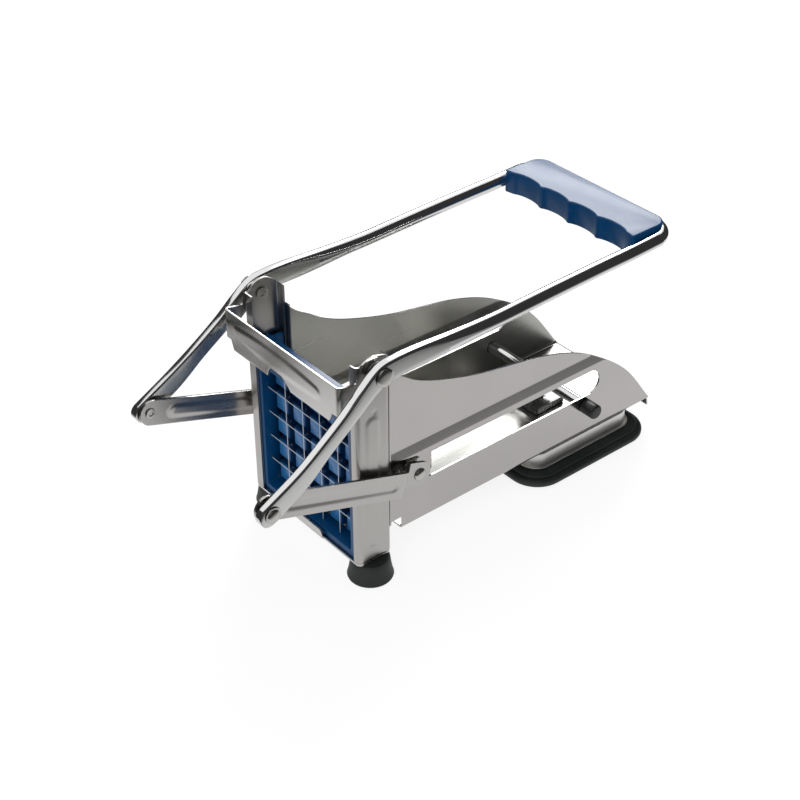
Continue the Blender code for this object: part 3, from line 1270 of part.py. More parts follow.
def build_pairs(finishes):
    """Pieces that the machine has twice, once on each side."""
    builders = ((build_post, "post", "steel"), (build_foot, "front_foot", "rubber"),
                (build_foot_screw, "foot_screw", "zinc"), (build_pusher_pin, "pusher_pin", "zinc"),
                (build_link, "link", "steel"), (build_link_tail, "link_rivet_tail", "zinc"),
                (build_crank_rivet, "crank_rivet", "zinc"), (build_pivot_bolt, "pivot_bolt", "zinc"),
                (build_pivot_spacer, "pivot_spacer", "zinc"))
    for builder, name, finish in builders:
        left = builder(name + "_left")
        right = mirrored(left, name + "_right")
        right.location.y = -left.location.y
        paint(finishes[finish], left, right)


def build_part():
    """All sub-parts in their finishes, moved so that the pad's centre is the origin."""
    finishes = {
        "steel": material("bright_steel", (0.62, 0.61, 0.60), 0.28, 1.0),
        "chrome": material("chromed_tube", (0.78, 0.78, 0.78), 0.12, 1.0),
        "blade": material("blade_steel", (0.74, 0.74, 0.74), 0.2, 1.0),
        "zinc": material("zinc_fastener", (0.55, 0.55, 0.54), 0.35, 1.0),
        "plastic": material("navy_plastic", (0.01, 0.05, 0.16), 0.32),
        "rubber": material("black_rubber", (0.02, 0.025, 0.024), 0.7),
        "dark": material("black_plastic", (0.025, 0.027, 0.03), 0.5),
    }
    build_pairs(finishes)
    paint(finishes["steel"], build_cross_member(), build_chute(), build_pusher_plate(), build_strap(),
          build_housing())
    paint(finishes["plastic"], build_cassette(), build_pusher_block(), build_grip())
    paint(finishes["blade"], *build_blades())
    paint(finishes["zinc"], *build_pusher_screws(), build_stud(), build_shaft(), build_lever_nut())
    paint(finishes["chrome"], build_handle())
    paint(finishes["rubber"], build_pad())
    paint(finishes["dark"], build_guide(), build_cap(), build_lever())
    for obj in list(PARTS.objects) + list(CUTTERS.objects):
        obj.location.x -= PAD_SETBACK


clear_scene()
PARTS = new_collection(PART_NAME)
CUTTERS = new_collection("cutters", cutters=True)
build_part()
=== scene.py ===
"""Looks of a hand-lever french fry cutter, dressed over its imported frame.

Pieces are shaped in millimetres in the maker's own layout: x runs back from a
datum behind the posts' front faces, y to the left and z up from the table. Each
finished piece is then scaled to metres and moved so that the centre of the
suction pad's underside is the origin.
"""
from __future__ import annotations

import logging
import math
from dataclasses import dataclass
from enum import Enum
from typing import Callable, Iterable, Sequence

import bmesh
import bpy
from mathutils import Matrix, Vector

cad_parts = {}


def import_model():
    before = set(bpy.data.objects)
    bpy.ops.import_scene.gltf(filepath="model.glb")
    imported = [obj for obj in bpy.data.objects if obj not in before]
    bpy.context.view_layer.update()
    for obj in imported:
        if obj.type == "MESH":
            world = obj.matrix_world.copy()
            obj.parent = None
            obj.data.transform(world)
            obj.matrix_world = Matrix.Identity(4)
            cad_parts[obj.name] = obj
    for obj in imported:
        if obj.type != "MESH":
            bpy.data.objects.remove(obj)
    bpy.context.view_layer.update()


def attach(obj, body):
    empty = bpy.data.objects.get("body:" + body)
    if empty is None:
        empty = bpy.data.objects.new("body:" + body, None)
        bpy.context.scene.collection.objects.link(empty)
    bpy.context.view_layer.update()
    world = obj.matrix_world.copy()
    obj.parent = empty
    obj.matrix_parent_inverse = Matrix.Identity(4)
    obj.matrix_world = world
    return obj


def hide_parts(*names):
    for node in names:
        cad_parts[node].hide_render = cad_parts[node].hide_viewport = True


LOG = logging.getLogger("fry_cutter")
METRES_PER_MM = 0.001
PAD_SETBACK = 161.5
PLACE = Matrix.Scale(METRES_PER_MM, 4) @ Matrix.Translation((-PAD_SETBACK, 0.0, 0.0))

# Axes across the machine, as (x, z)
PIVOT = (3.3, 132.0)
CRANK = (-65.4, 85.0)
PIN = (36.0, 50.9)
SHAFT = (159.5, 37.0)

# Radii of the bores on those axes and round the stud
PIVOT_BORE = 3.1
CRANK_BORE = 2.7
PIN_BORE = 2.9
SHAFT_BORE = 3.6
STUD_BORE = 3.3

# Gap between pieces that stand against each other
GAP = 0.3

# Half length of a cutter right across the machine, and the faces round a bar
CUTTER_REACH = 70.0
ROUND_STEPS = 48

# Edges that turn by more than these stay sharp in the shading
SMOOTH_ANGLE = math.radians(38.0)
FIRM_ANGLE = math.radians(50.0)
FULL_ANGLE = math.radians(60.0)

# Rounding of a plain sheet's edges, and white with its alpha
SHEET_EDGE = 0.16
WHITE = (1.0, 1.0, 1.0, 1.0)

Colour = tuple[float, float, float]
Corner = tuple[float, float, float]
Relief = Callable[[Vector], Vector]


class Side(Enum):
    """Left and right of the machine, as seen from the blade end."""

    LEFT = 1
    RIGHT = -1

    @property
    def word(self) -> str:
        """Word that ends the names of this side's pieces."""
        return self.name.lower()


class Plane(Enum):
    """Plane that a flat outline lies in; the third axis is its depth."""

    XY = 0
    XZ = 1
    YZ = 2

    def point(self, across: float, up: float, depth: float) -> Vector:
        """Point of the layout for a place in the plane and a depth.

        Args:
            across: Place along the plane's first axis.
            up: Place along its second axis.
            depth: Distance along the third axis.

        Returns:
            The point as (x, y, z).
        """
        if self is Plane.XY:
            return Vector((across, up, depth))
        if self is Plane.XZ:
            return Vector((across, depth, up))
        return Vector((depth, across, up))

    @property
    def normal(self) -> Vector:
        """Unit vector along the plane's depth."""
        return self.point(0.0, 0.0, 1.0)


class Grain(Enum):
    """Scale of a metal's drawn marks along x, y and z, per metre."""

    ALONG = (9.0, 700.0, 700.0)
    ACROSS = (700.0, 9.0, 700.0)
    UPRIGHT = (700.0, 700.0, 9.0)
    FINE = (500.0, 500.0, 500.0)


# Finishes

class NodeSheet:
    """Node tree of one material, with short ways to add and join nodes."""

    def __init__(self, name: str) -> None:
        """Start a material that has a Principled shader.

        Args:
            name: Name of the material.
        """
        self.material = bpy.data.materials.new(name)
        self.material.use_nodes = True
        self.tree = self.material.node_tree
        self.shader = self.tree.nodes["Principled BSDF"]

    def add(self, kind: str, **inputs: object) -> bpy.types.Node:
        """Add a node and set its inputs.

        Args:
            kind: Node type, without its ShaderNode prefix.
            **inputs: Values or output sockets by input name, spaces as underscores.

        Returns:
            The new node.
        """
        node = self.tree.nodes.new("ShaderNode" + kind)
        self.feed(node, inputs)
        return node

    def feed(self, node: bpy.types.Node, inputs: dict[str, object]) -> None:
        """Set or link a node's inputs.

        Args:
            node: The node.
            inputs: Values or output sockets by input name, spaces as underscores.
        """
        for word, value in inputs.items():
            self.give(node.inputs[word.replace("_", " ")], value)

    def give(self, socket: bpy.types.NodeSocket, value: object) -> None:
        """Link an input to an output socket, or set its value.

        Args:
            socket: The input.
            value: An output socket or a plain value.
        """
        if isinstance(value, bpy.types.NodeSocket):
            self.tree.links.new(value, socket)
        else:
            socket.default_value = value

    def math(self, operation: str, *values: object) -> bpy.types.NodeSocket:
        """Result of a math node.

        Args:
            operation: What the node works out.
            *values: Its values or output sockets, in order.

        Returns:
            Socket of the result.
        """
        node = self.add("Math")
        node.operation = operation
        for socket, value in zip(node.inputs, values):
            self.give(socket, value)
        return node.outputs["Value"]

    def place(self, scale: Sequence[float] = (1.0, 1.0, 1.0)) -> bpy.types.NodeSocket:
        """Object coordinates stretched by a scale."""
        spot = self.add("TexCoord").outputs["Object"]
        return self.add("Mapping", Vector=spot, Scale=tuple(scale)).outputs["Vector"]

    def noise(self, scale: float, detail: float = 3.0, roughness: float = 0.5,
              stretch: Sequence[float] = (1.0, 1.0, 1.0)) -> bpy.types.NodeSocket:
        """Noise value on object coordinates."""
        return self.add("TexNoise", Vector=self.place(stretch), Scale=scale, Detail=detail,
                        Roughness=roughness).outputs["Fac"]

    def remap(self, value: bpy.types.NodeSocket, low: float, high: float, to_low: float,
              to_high: float) -> bpy.types.NodeSocket:
        """Value carried from one range to another, held at its ends.

        Args:
            value: Socket that gives the value.
            low: Start of the first range.
            high: End of the first range.
            to_low: Start of the second range.
            to_high: End of the second range.

        Returns:
            Socket of the carried value.
        """
        node = self.add("MapRange", Value=value)
        for word, number in (("From Min", low), ("From Max", high), ("To Min", to_low), ("To Max", to_high)):
            node.inputs[word].default_value = number
        return node.outputs["Result"]

    def blend(self, share: bpy.types.NodeSocket, first: Colour, second: Colour) -> bpy.types.NodeSocket:
        """Colour between two colours by a share.

        Args:
            share: Socket that gives the share of the second colour.
            first: Colour at zero.
            second: Colour at one.

        Returns:
            Socket of the blended colour.
        """
        node = self.tree.nodes.new("ShaderNodeMix")
        node.data_type = "RGBA"
        self.tree.links.new(share, node.inputs["Factor"])
        for word, value in (("A", first), ("B", second)):
            socket = next(s for s in node.inputs if s.name == word and s.type == "RGBA")
            socket.default_value = (*value, 1.0)
        return next(s for s in node.outputs if s.type == "RGBA")

    def bump(self, *layers: tuple[bpy.types.NodeSocket, float, float]) -> bpy.types.NodeSocket:
        """Stacked bump layers, each (height, strength, distance).

        Args:
            *layers: Height socket, strength and distance of each layer, from the lowest up.

        Returns:
            Socket of the bumped normal.
        """
        normal = None
        for height, strength, distance in layers:
            node = self.add("Bump", Height=height, Strength=strength, Distance=distance)
            if normal is not None:
                self.tree.links.new(normal, node.inputs["Normal"])
            normal = node.outputs["Normal"]
        return normal

    def dress(self, **inputs: object) -> bpy.types.Material:
        """Set the Principled shader's inputs and give the material.

        Args:
            **inputs: Values or output sockets by input name, spaces as underscores.

        Returns:
            The finished material.
        """
        self.feed(self.shader, inputs)
        return self.material

    def show(self, output: bpy.types.NodeSocket) -> bpy.types.Material:
        """Let an output be the whole surface, in place of the Principled shader.

        Args:
            output: Shader output of a node.

        Returns:
            The finished material.
        """
        self.tree.nodes.remove(self.shader)
        self.tree.links.new(output, self.tree.nodes["Material Output"].inputs["Surface"])
        return self.material


@dataclass(frozen=True)
class Metal:
    """Drawn, rolled or polished metal with grain, cloudy tone and handling marks."""

    name: str
    slot: str
    colour: Colour
    shade: Colour
    roughness: float
    spread: float = 0.06
    grain: Grain = Grain.ALONG
    marks: float = 0.012
    waves: float = 0.03

    def material(self) -> bpy.types.Material:
        """Build the metal's node material.

        Returns:
            Material with grain in its colour, roughness and bump.
        """
        sheet = NodeSheet(self.name)
        grain = sheet.noise(scale=1.0, detail=5.0, roughness=0.62, stretch=self.grain.value)
        cloud = sheet.noise(scale=16.0, detail=4.0, roughness=0.55)
        smudge = sheet.noise(scale=48.0, detail=5.0, roughness=0.6)
        tone = sheet.math("MULTIPLY_ADD", grain, 0.35, sheet.remap(cloud, 0.3, 0.7, 0.0, 0.65))
        colour = sheet.blend(tone, self.shade, self.colour)
        drawn = sheet.remap(grain, 0.25, 0.75, self.roughness - self.spread, self.roughness + self.spread)
        rough = sheet.math("ADD", drawn, sheet.remap(smudge, 0.52, 0.78, 0.0, self.spread))
        wave = sheet.noise(scale=22.0, detail=2.0, roughness=0.4)
        normal = sheet.bump((wave, self.waves, 0.002), (grain, self.marks, 0.0002))
        return sheet.dress(Base_Color=colour, Metallic=1.0, Roughness=rough, Normal=normal)


@dataclass(frozen=True)
class Plastic:
    """Moulded plastic with a faint flow pattern and a skin of fine texture."""

    name: str
    slot: str
    colour: Colour
    shade: Colour
    roughness: float
    coat: float = 0.0
    shine: float = 0.5
    skin: float = 0.02
    waves: float = 0.06

    def material(self) -> bpy.types.Material:
        """Build the plastic's node material.

        Returns:
            Material with mottled colour, roughness and bump.
        """
        sheet = NodeSheet(self.name)
        flow = sheet.noise(scale=30.0, detail=4.0, roughness=0.6, stretch=(1.0, 0.45, 1.6))
        speck = sheet.noise(scale=1400.0, detail=2.0, roughness=0.5)
        colour = sheet.blend(sheet.remap(flow, 0.3, 0.7, 0.0, 1.0), self.shade, self.colour)
        rough = sheet.remap(flow, 0.3, 0.7, self.roughness - 0.05, self.roughness + 0.05)
        normal = sheet.bump((flow, self.waves, 0.002), (speck, self.skin, 0.0003))
        return sheet.dress(Base_Color=colour, Roughness=rough, Normal=normal, Coat_Weight=self.coat,
                           Coat_Roughness=0.12, Specular_IOR_Level=self.shine)


@dataclass(frozen=True)
class Rubber:
    """Moulded black rubber, matte and a little dusty."""

    name: str
    slot: str
    colour: Colour
    dust: Colour
    roughness: float

    def material(self) -> bpy.types.Material:
        """Build the rubber's node material.

        Returns:
            Material with dusty patches and a pebbled skin.
        """
        sheet = NodeSheet(self.name)
        patch = sheet.noise(scale=60.0, detail=5.0, roughness=0.65)
        pebble = sheet.noise(scale=1800.0, detail=3.0, roughness=0.5)
        colour = sheet.blend(sheet.remap(patch, 0.45, 0.8, 0.0, 0.6), self.colour, self.dust)
        rough = sheet.remap(patch, 0.3, 0.75, self.roughness - 0.08, self.roughness + 0.08)
        normal = sheet.bump((patch, 0.05, 0.001), (pebble, 0.09, 0.0003))
        return sheet.dress(Base_Color=colour, Roughness=rough, Normal=normal)


@dataclass(frozen=True)
class Finishes:
    """Every finish that the machine's pieces take."""

    wall: Metal = Metal("rolled_steel_wall", "bright_steel", (0.54, 0.52, 0.51), (0.48, 0.465, 0.455), 0.15,
                        spread=0.025, marks=0.006)
    # Darker, rougher copy of the wall steel for the chute's inner faces and inside floor: painted shade inside the
    # chute
    inside: Metal = Metal("chute_inside_painted_shade", "bright_steel", (0.56, 0.555, 0.53), (0.42, 0.42, 0.4), 0.3,
                          spread=0.04)
    post: Metal = Metal("folded_steel_post", "bright_steel", (0.53, 0.515, 0.5), (0.49, 0.475, 0.46), 0.29,
                        spread=0.02, grain=Grain.UPRIGHT, marks=0.003)
    strap: Metal = Metal("strap_steel", "bright_steel", (0.68, 0.67, 0.655), (0.62, 0.61, 0.595), 0.24,
                         spread=0.02, grain=Grain.ACROSS, marks=0.004)
    link: Metal = Metal("link_steel", "bright_steel", (0.57, 0.555, 0.54), (0.51, 0.495, 0.48), 0.26, spread=0.02,
                        marks=0.004)
    housing: Metal = Metal("pressed_housing_steel", "bright_steel", (0.86, 0.85, 0.83), (0.66, 0.65, 0.63), 0.36,
                           spread=0.03)
    chrome: Metal = Metal("chromed_tube_skin", "chromed_tube", (0.8, 0.8, 0.8), (0.74, 0.74, 0.74), 0.1,
                          spread=0.01, grain=Grain.FINE, marks=0.0001, waves=0.001)
    satin: Metal = Metal("flattened_arm_skin", "chromed_tube", (0.68, 0.68, 0.67), (0.64, 0.64, 0.63), 0.22,
                         spread=0.02, grain=Grain.FINE, marks=0.002, waves=0.004)
    blade: Metal = Metal("ground_blade_steel", "blade_steel", (0.84, 0.85, 0.87), (0.78, 0.79, 0.81), 0.08,
                         spread=0.03, grain=Grain.FINE, waves=0.01)
    edge: Plastic = Plastic("ground_blade_edge", "blade_steel", (0.7, 0.73, 0.77), (0.55, 0.58, 0.62), 0.35)
    zinc: Metal = Metal("zinc_plating", "zinc_fastener", (0.64, 0.63, 0.61), (0.56, 0.55, 0.53), 0.24,
                        grain=Grain.FINE)
    navy: Plastic = Plastic("navy_moulding", "navy_plastic", (0.0, 0.072, 0.215), (0.0, 0.055, 0.175), 0.3,
                            shine=0.38)
    # Lighter copy of the finger blue for the fingers' front faces: painted light
    finger_face_painted_light: Plastic = Plastic("blue_finger_face_painted_light", "navy_plastic", (0.035, 0.21, 0.5), (0.025, 0.17, 0.44),
                                  0.3, coat=0.1)
    finger: Plastic = Plastic("blue_finger_moulding", "navy_plastic", (0.004, 0.09, 0.25),
                              (0.01, 0.09, 0.3), 0.34, coat=0.1)
    rubber: Rubber = Rubber("foot_rubber", "black_rubber", (0.013, 0.019, 0.017), (0.035, 0.045, 0.042), 0.56)
    black: Plastic = Plastic("black_moulding", "black_plastic", (0.02, 0.022, 0.021), (0.012, 0.014, 0.013), 0.45)
    guide: Plastic = Plastic("glossy_guide_moulding", "black_plastic", (0.06, 0.062, 0.06), (0.04, 0.042, 0.04), 0.2,
                             coat=1.0)


class Paints:
    """Materials made once from the finishes and then shared."""

    def __init__(self) -> None:
        """Start with no material made."""
        self._made: dict[str, bpy.types.Material] = {}

    def of(self, finish: Metal | Plastic | Rubber) -> bpy.types.Material:
        """Material of a finish, made on first use.

        Args:
            finish: The finish to look up.

        Returns:
            Its material.
        """
        if finish.name not in self._made:
            self._made[finish.name] = finish.material()
        return self._made[finish.name]


# Outlines

def rounded(corners: Sequence[Corner], steps: int = 6, closed: bool = True) -> list[Vector]:
    """Line through (across, up, radius) corners with each corner rounded.

    Args:
        corners: Corners in order.
        steps: Spans of each rounded corner.
        closed: Whether the line joins its ends.

    Returns:
        Points of the line.
    """
    points: list[Vector] = []
    count = len(corners)
    for index, (across, up, radius) in enumerate(corners):
        here = Vector((across, up))
        if radius <= 0.0 or (not closed and index in (0, count - 1)):
            points.append(here)
            continue
        back = (Vector(corners[index - 1][:2]) - here).normalized()
        ahead = (Vector(corners[(index + 1) % count][:2]) - here).normalized()
        half = back.angle(ahead) / 2
        centre = here + (back + ahead).normalized() * (radius / math.sin(half))
        first = here + back * (radius / math.tan(half)) - centre
        turn = (math.pi - 2 * half) * (-1 if back.cross(ahead) > 0 else 1)
        for step in range(steps + 1):
            spoke = first.copy()
            spoke.rotate(Matrix.Rotation(turn * step / steps, 2))
            points.append(centre + spoke)
    return points


def rectangle(low: tuple[float, float], high: tuple[float, float], radius: float, steps: int = 6) -> list[Vector]:
    """Outline of a rectangle with one corner radius.

    Args:
        low: Its lower left corner.
        high: Its upper right corner.
        radius: Radius of every corner.
        steps: Spans of each rounded corner.

    Returns:
        Points of the outline.
    """
    corners = [(low[0], low[1], radius), (high[0], low[1], radius), (high[0], high[1], radius),
               (low[0], high[1], radius)]
    return rounded(corners, steps)


def evened(points: Sequence[Vector], pitch: float) -> list[Vector]:
    """Line with points added so that no span is longer than the pitch.

    Args:
        points: Points of the line.
        pitch: Longest span allowed.

    Returns:
        Points of the finer line.
    """
    line: list[Vector] = []
    for first, second in zip(points, points[1:]):
        spans = max(1, math.ceil((second - first).length / pitch))
        line += [first.lerp(second, step / spans) for step in range(spans)]
    return line + [points[-1]]


def flowing(points: Sequence[Sequence[float]], spans: int) -> list[Vector]:
    """Smooth curve through the given points, with so many spans between each two.

    Args:
        points: Points that the curve meets.
        spans: Spans between each two of them.

    Returns:
        Points of the curve.
    """
    keys = [Vector(point) for point in points]
    padded = [2 * keys[0] - keys[1]] + keys + [2 * keys[-1] - keys[-2]]
    curve = []
    for index in range(len(keys) - 1):
        a, b, c, d = padded[index:index + 4]
        for step in range(spans):
            t = step / spans
            curve.append((2 * b + (c - a) * t + (2 * a - 5 * b + 4 * c - d) * t ** 2
                          + (3 * b - a - 3 * c + d) * t ** 3) / 2)
    return curve + [keys[-1]]


def ease(value: float) -> float:
    """Smooth step from zero to one."""
    held = min(1.0, max(0.0, value))
    return held * held * (3.0 - 2.0 * held)


def ridge(start: tuple[float, float], end: tuple[float, float], half: float, shoulder: float,
          spot: tuple[float, float]) -> float:
    """Height share of a pressed rib at a spot.

    Args:
        start: One end of the rib's middle line.
        end: The other end.
        half: Half of the flat top's width.
        shoulder: Width of each sloping side.
        spot: Where the height is wanted.

    Returns:
        One on the rib, zero off it, smooth between.
    """
    line, place = Vector(end) - Vector(start), Vector(spot) - Vector(start)
    share = min(1.0, max(0.0, place.dot(line) / line.length_squared))
    return 1.0 - ease(((place - line * share).length - half) / shoulder)


def placed(name: str, shape: bmesh.types.BMesh) -> bpy.types.Object:
    """Object for a shape, set in the scene.

    Args:
        name: Name of the object and its mesh.
        shape: The shape, which is used up.

    Returns:
        The new object.
    """
    mesh = bpy.data.meshes.new(name)
    shape.to_mesh(mesh)
    shape.free()
    made = bpy.data.objects.new(name, mesh)
    bpy.context.scene.collection.objects.link(made)
    return made


# Bench

class Bench:
    """Bench on which pieces are shaped in millimetres and then set in place."""

    def __init__(self, paints: Paints) -> None:
        """Keep the shared paints.

        Args:
            paints: Materials for the finished pieces.
        """
        self.paints = paints
        self.count = 0

    def piece(self, name: str, shape: bmesh.types.BMesh) -> bpy.types.Object:
        """Object for a shape, with its doubles merged and its faces outward.

        Args:
            name: Name of the piece.
            shape: The shape, which is used up.

        Returns:
            The new object.
        """
        bmesh.ops.remove_doubles(shape, verts=shape.verts, dist=1e-4)
        bmesh.ops.recalc_face_normals(shape, faces=shape.faces)
        return placed(name, shape)

    def applied(self, piece: bpy.types.Object) -> bpy.types.Object:
        """Apply every modifier of a piece to its mesh.

        Args:
            piece: Piece with modifiers.

        Returns:
            The same piece without them.
        """
        bpy.context.view_layer.update()
        graph = bpy.context.evaluated_depsgraph_get()
        mesh = bpy.data.meshes.new_from_object(piece.evaluated_get(graph))
        piece.modifiers.clear()
        piece.data = mesh
        return piece

    def combine(self, piece: bpy.types.Object, *tools: bpy.types.Object,
                how: str = "DIFFERENCE") -> bpy.types.Object:
        """Cut tools from a piece, join them on, or keep what both share.

        Args:
            piece: The piece that stays.
            *tools: Pieces that are used up.
            how: Boolean operation.

        Returns:
            The changed piece.
        """
        for tool in tools:
            step = piece.modifiers.new("step", "BOOLEAN")
            step.operation = how
            step.solver = "EXACT"
            step.object = tool
        self.applied(piece)
        for tool in tools:
            bpy.data.objects.remove(tool, do_unlink=True)
        return piece

    def thicken(self, piece: bpy.types.Object, sheet: float) -> bpy.types.Object:
        """Give a bare surface a sheet's thickness, half to each side.

        Args:
            piece: The bare surface.
            sheet: Thickness of the sheet.

        Returns:
            The thickened piece.
        """
        wall = piece.modifiers.new("wall", "SOLIDIFY")
        wall.thickness = sheet
        wall.offset = 0.0
        wall.use_even_offset = True
        return self.applied(piece)

    def soften(self, piece: bpy.types.Object, width: float, segments: int = 2,
               angle: float = 50.0) -> bpy.types.Object:
        """Round a piece's sharp edges.

        Args:
            piece: Piece to round.
            width: Width of the rounding.
            segments: Faces across it.
            angle: Edges that turn by less than this, in degrees, are left.

        Returns:
            The rounded piece.
        """
        edge = piece.modifiers.new("edge", "BEVEL")
        edge.width = width
        edge.segments = segments
        edge.limit_method = "ANGLE"
        edge.angle_limit = math.radians(angle)
        edge.use_clamp_overlap = True
        edge.miter_outer = "MITER_ARC"
        return self.applied(piece)

    def slab(self, name: str, outline: Sequence[Vector], plane: Plane, start: float,
             depth: float) -> bpy.types.Object:
        """Solid of a flat outline, extruded along the plane's depth.

        Args:
            name: Name of the piece.
            outline: Points of the outline in the plane.
            plane: Plane of the outline.
            start: Depth at which the solid starts.
            depth: How far it runs.

        Returns:
            The solid.
        """
        shape = bmesh.new()
        face = shape.faces.new([shape.verts.new(plane.point(point.x, point.y, start)) for point in outline])
        grown = bmesh.ops.extrude_face_region(shape, geom=[face])
        moved = [part for part in grown["geom"] if isinstance(part, bmesh.types.BMVert)]
        bmesh.ops.translate(shape, vec=plane.normal * depth, verts=moved)
        return self.piece(name, shape)

    def folded(self, name: str, path: Sequence[Vector], plane: Plane, start: float, length: float,
               rows: int, sheet: float, relief: Relief | None = None) -> bpy.types.Object:
        """Folded sheet: a line swept along the plane's depth, pressed and thickened.

        Args:
            name: Name of the piece.
            path: The sheet's middle line in the plane.
            plane: Plane of the line.
            start: Depth at which the sheet starts.
            length: How far the sheet runs.
            rows: Rows of faces along the run.
            sheet: Thickness of the sheet.
            relief: Gives each point's shift for pressed ribs and dimples.

        Returns:
            The sheet as a closed solid.
        """
        shape = bmesh.new()
        line = [shape.verts.new(plane.point(point.x, point.y, start)) for point in path]
        edges = [shape.edges.new(pair) for pair in zip(line, line[1:])]
        for _ in range(rows):
            grown = bmesh.ops.extrude_edge_only(shape, edges=edges)["geom"]
            moved = [part for part in grown if isinstance(part, bmesh.types.BMVert)]
            edges = [part for part in grown if isinstance(part, bmesh.types.BMEdge)]
            bmesh.ops.translate(shape, vec=plane.normal * (length / rows), verts=moved)
        if relief is not None:
            for vertex in shape.verts:
                vertex.co += relief(vertex.co)
        return self.thicken(self.piece(name, shape), sheet)

    def block(self, name: str, low: Sequence[float], high: Sequence[float]) -> bpy.types.Object:
        """Box between two corners.

        Args:
            name: Name of the piece.
            low: Its lowest corner.
            high: Its highest corner.

        Returns:
            The box.
        """
        first, second = Vector(low), Vector(high)
        shape = bmesh.new()
        bmesh.ops.create_cube(shape, size=1.0)
        bmesh.ops.scale(shape, vec=second - first, verts=shape.verts)
        bmesh.ops.translate(shape, vec=(first + second) / 2, verts=shape.verts)
        return self.piece(name, shape)

    def rod(self, name: str, radius: float, start: Sequence[float], end: Sequence[float]) -> bpy.types.Object:
        """Round bar between two points.

        Args:
            name: Name of the piece.
            radius: Radius of the bar.
            start: Middle of one end.
            end: Middle of the other end.

        Returns:
            The bar.
        """
        first, second = Vector(start), Vector(end)
        shape = bmesh.new()
        turn = (second - first).to_track_quat("Z", "Y").to_matrix().to_4x4()
        bmesh.ops.create_cone(shape, cap_ends=True, segments=ROUND_STEPS, radius1=radius, radius2=radius,
                              depth=(second - first).length,
                              matrix=Matrix.Translation((first + second) / 2) @ turn)
        return self.piece(name, shape)

    def bores(self, radius: float, x: float, z: float) -> bpy.types.Object:
        """Round cutter right across the machine."""
        return self.rod("bore", radius, (x, -CUTTER_REACH, z), (x, CUTTER_REACH, z))

    def turned(self, name: str, profile: Sequence[tuple[float, float]], centre: Sequence[float],
               plane: Plane, side: Side = Side.LEFT, steps: int = ROUND_STEPS) -> bpy.types.Object:
        """Turned piece from a (radius, height) profile.

        Args:
            name: Name of the piece.
            profile: Closed line of (radius, height) points.
            centre: Point of the axis where the height is zero.
            plane: Plane that the axis stands on.
            side: Right turns the heights the other way.
            steps: Faces round the axis.

        Returns:
            The turned piece.
        """
        shape = bmesh.new()
        verts = [shape.verts.new((radius, 0.0, height * side.value)) for radius, height in profile]
        edges = [shape.edges.new(pair) for pair in zip(verts, verts[1:])]
        if profile[0][0] > 0.0:
            edges.append(shape.edges.new((verts[-1], verts[0])))
        bmesh.ops.spin(shape, geom=verts + edges, cent=(0, 0, 0), axis=(0, 0, 1), angle=2 * math.pi,
                       steps=steps, use_merge=True, use_duplicate=False)
        if plane is Plane.XZ:
            bmesh.ops.rotate(shape, verts=shape.verts, matrix=Matrix.Rotation(-math.pi / 2, 3, "X"))
        elif plane is Plane.YZ:
            bmesh.ops.rotate(shape, verts=shape.verts, matrix=Matrix.Rotation(math.pi / 2, 3, "Y"))
        bmesh.ops.translate(shape, verts=shape.verts, vec=Vector(centre))
        return self.piece(name, shape)

    def loft(self, name: str, rings: Sequence[Sequence[Vector]]) -> bpy.types.Object:
        """Closed skin over a row of rings that all have the same number of points.

        Args:
            name: Name of the piece.
            rings: The rings in order.

        Returns:
            The skin with both ends closed.
        """
        shape = bmesh.new()
        loops: list[list[bmesh.types.BMEdge]] = []
        for ring in rings:
            verts = [shape.verts.new(point) for point in ring]
            loops.append([shape.edges.new((verts[i - 1], verts[i])) for i in range(len(verts))])
        for first, second in zip(loops, loops[1:]):
            bmesh.ops.bridge_loops(shape, edges=first + second)
        for end in (loops[0], loops[-1]):
            bmesh.ops.contextual_create(shape, geom=end)
        return self.piece(name, shape)

    def mirrored(self, piece: bpy.types.Object) -> bpy.types.Object:
        """Carry a piece to the other side of the machine.

        Args:
            piece: Piece of the left side.

        Returns:
            The same piece on the right side.
        """
        piece.data.transform(Matrix.Diagonal((1.0, -1.0, 1.0, 1.0)))
        piece.data.flip_normals()
        return piece

    def joined(self, name: str, pieces: Sequence[bpy.types.Object]) -> bpy.types.Object:
        """One piece from several.

        Args:
            name: Name of the piece.
            pieces: Pieces that are used up.

        Returns:
            The joined piece.
        """
        shape = bmesh.new()
        for part in pieces:
            shape.from_mesh(part.data)
            bpy.data.objects.remove(part, do_unlink=True)
        return placed(name, shape)

    def fit(self, piece: bpy.types.Object, finish: Metal | Plastic | Rubber, body: str, *nodes: str,
            angle: float = SMOOTH_ANGLE, even: bool = False) -> bpy.types.Object:
        """Finish a piece: take it to metres, paint it and hang it on its body.

        Args:
            piece: Piece in millimetres.
            finish: Its finish.
            body: Body that it moves with.
            *nodes: CAD nodes that it stands for.
            angle: Edges sharper than this stay sharp.
            even: Lets large faces lead the shading of their edges.

        Returns:
            The finished piece.
        """
        piece.data.transform(PLACE)
        piece.data.shade_smooth()
        piece.data.set_sharp_from_angle(angle=angle)
        if even:
            lead = piece.modifiers.new("lead", "WEIGHTED_NORMAL")
            lead.keep_sharp = True
            self.applied(piece)
        piece.data.materials.clear()
        piece.data.materials.append(self.paints.of(finish))
        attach(piece, body)
        if nodes:
            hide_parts(*nodes)
        self.count += 1
        LOG.info("%s: %d faces, rides on %s", piece.name, len(piece.data.polygons), body)
        return piece

    def second(self, piece: bpy.types.Object, finish: Metal | Plastic,
               chosen: Callable[[Vector, Vector], bool]) -> None:
        """Give a second finish to some faces of a finished piece.

        Args:
            piece: A finished piece.
            finish: Finish of the chosen faces.
            chosen: Says from a face's centre and normal whether it takes the finish.
        """
        piece.data.materials.append(self.paints.of(finish))
        for polygon in piece.data.polygons:
            if chosen(polygon.center, polygon.normal):
                polygon.material_index = 1


# Frame

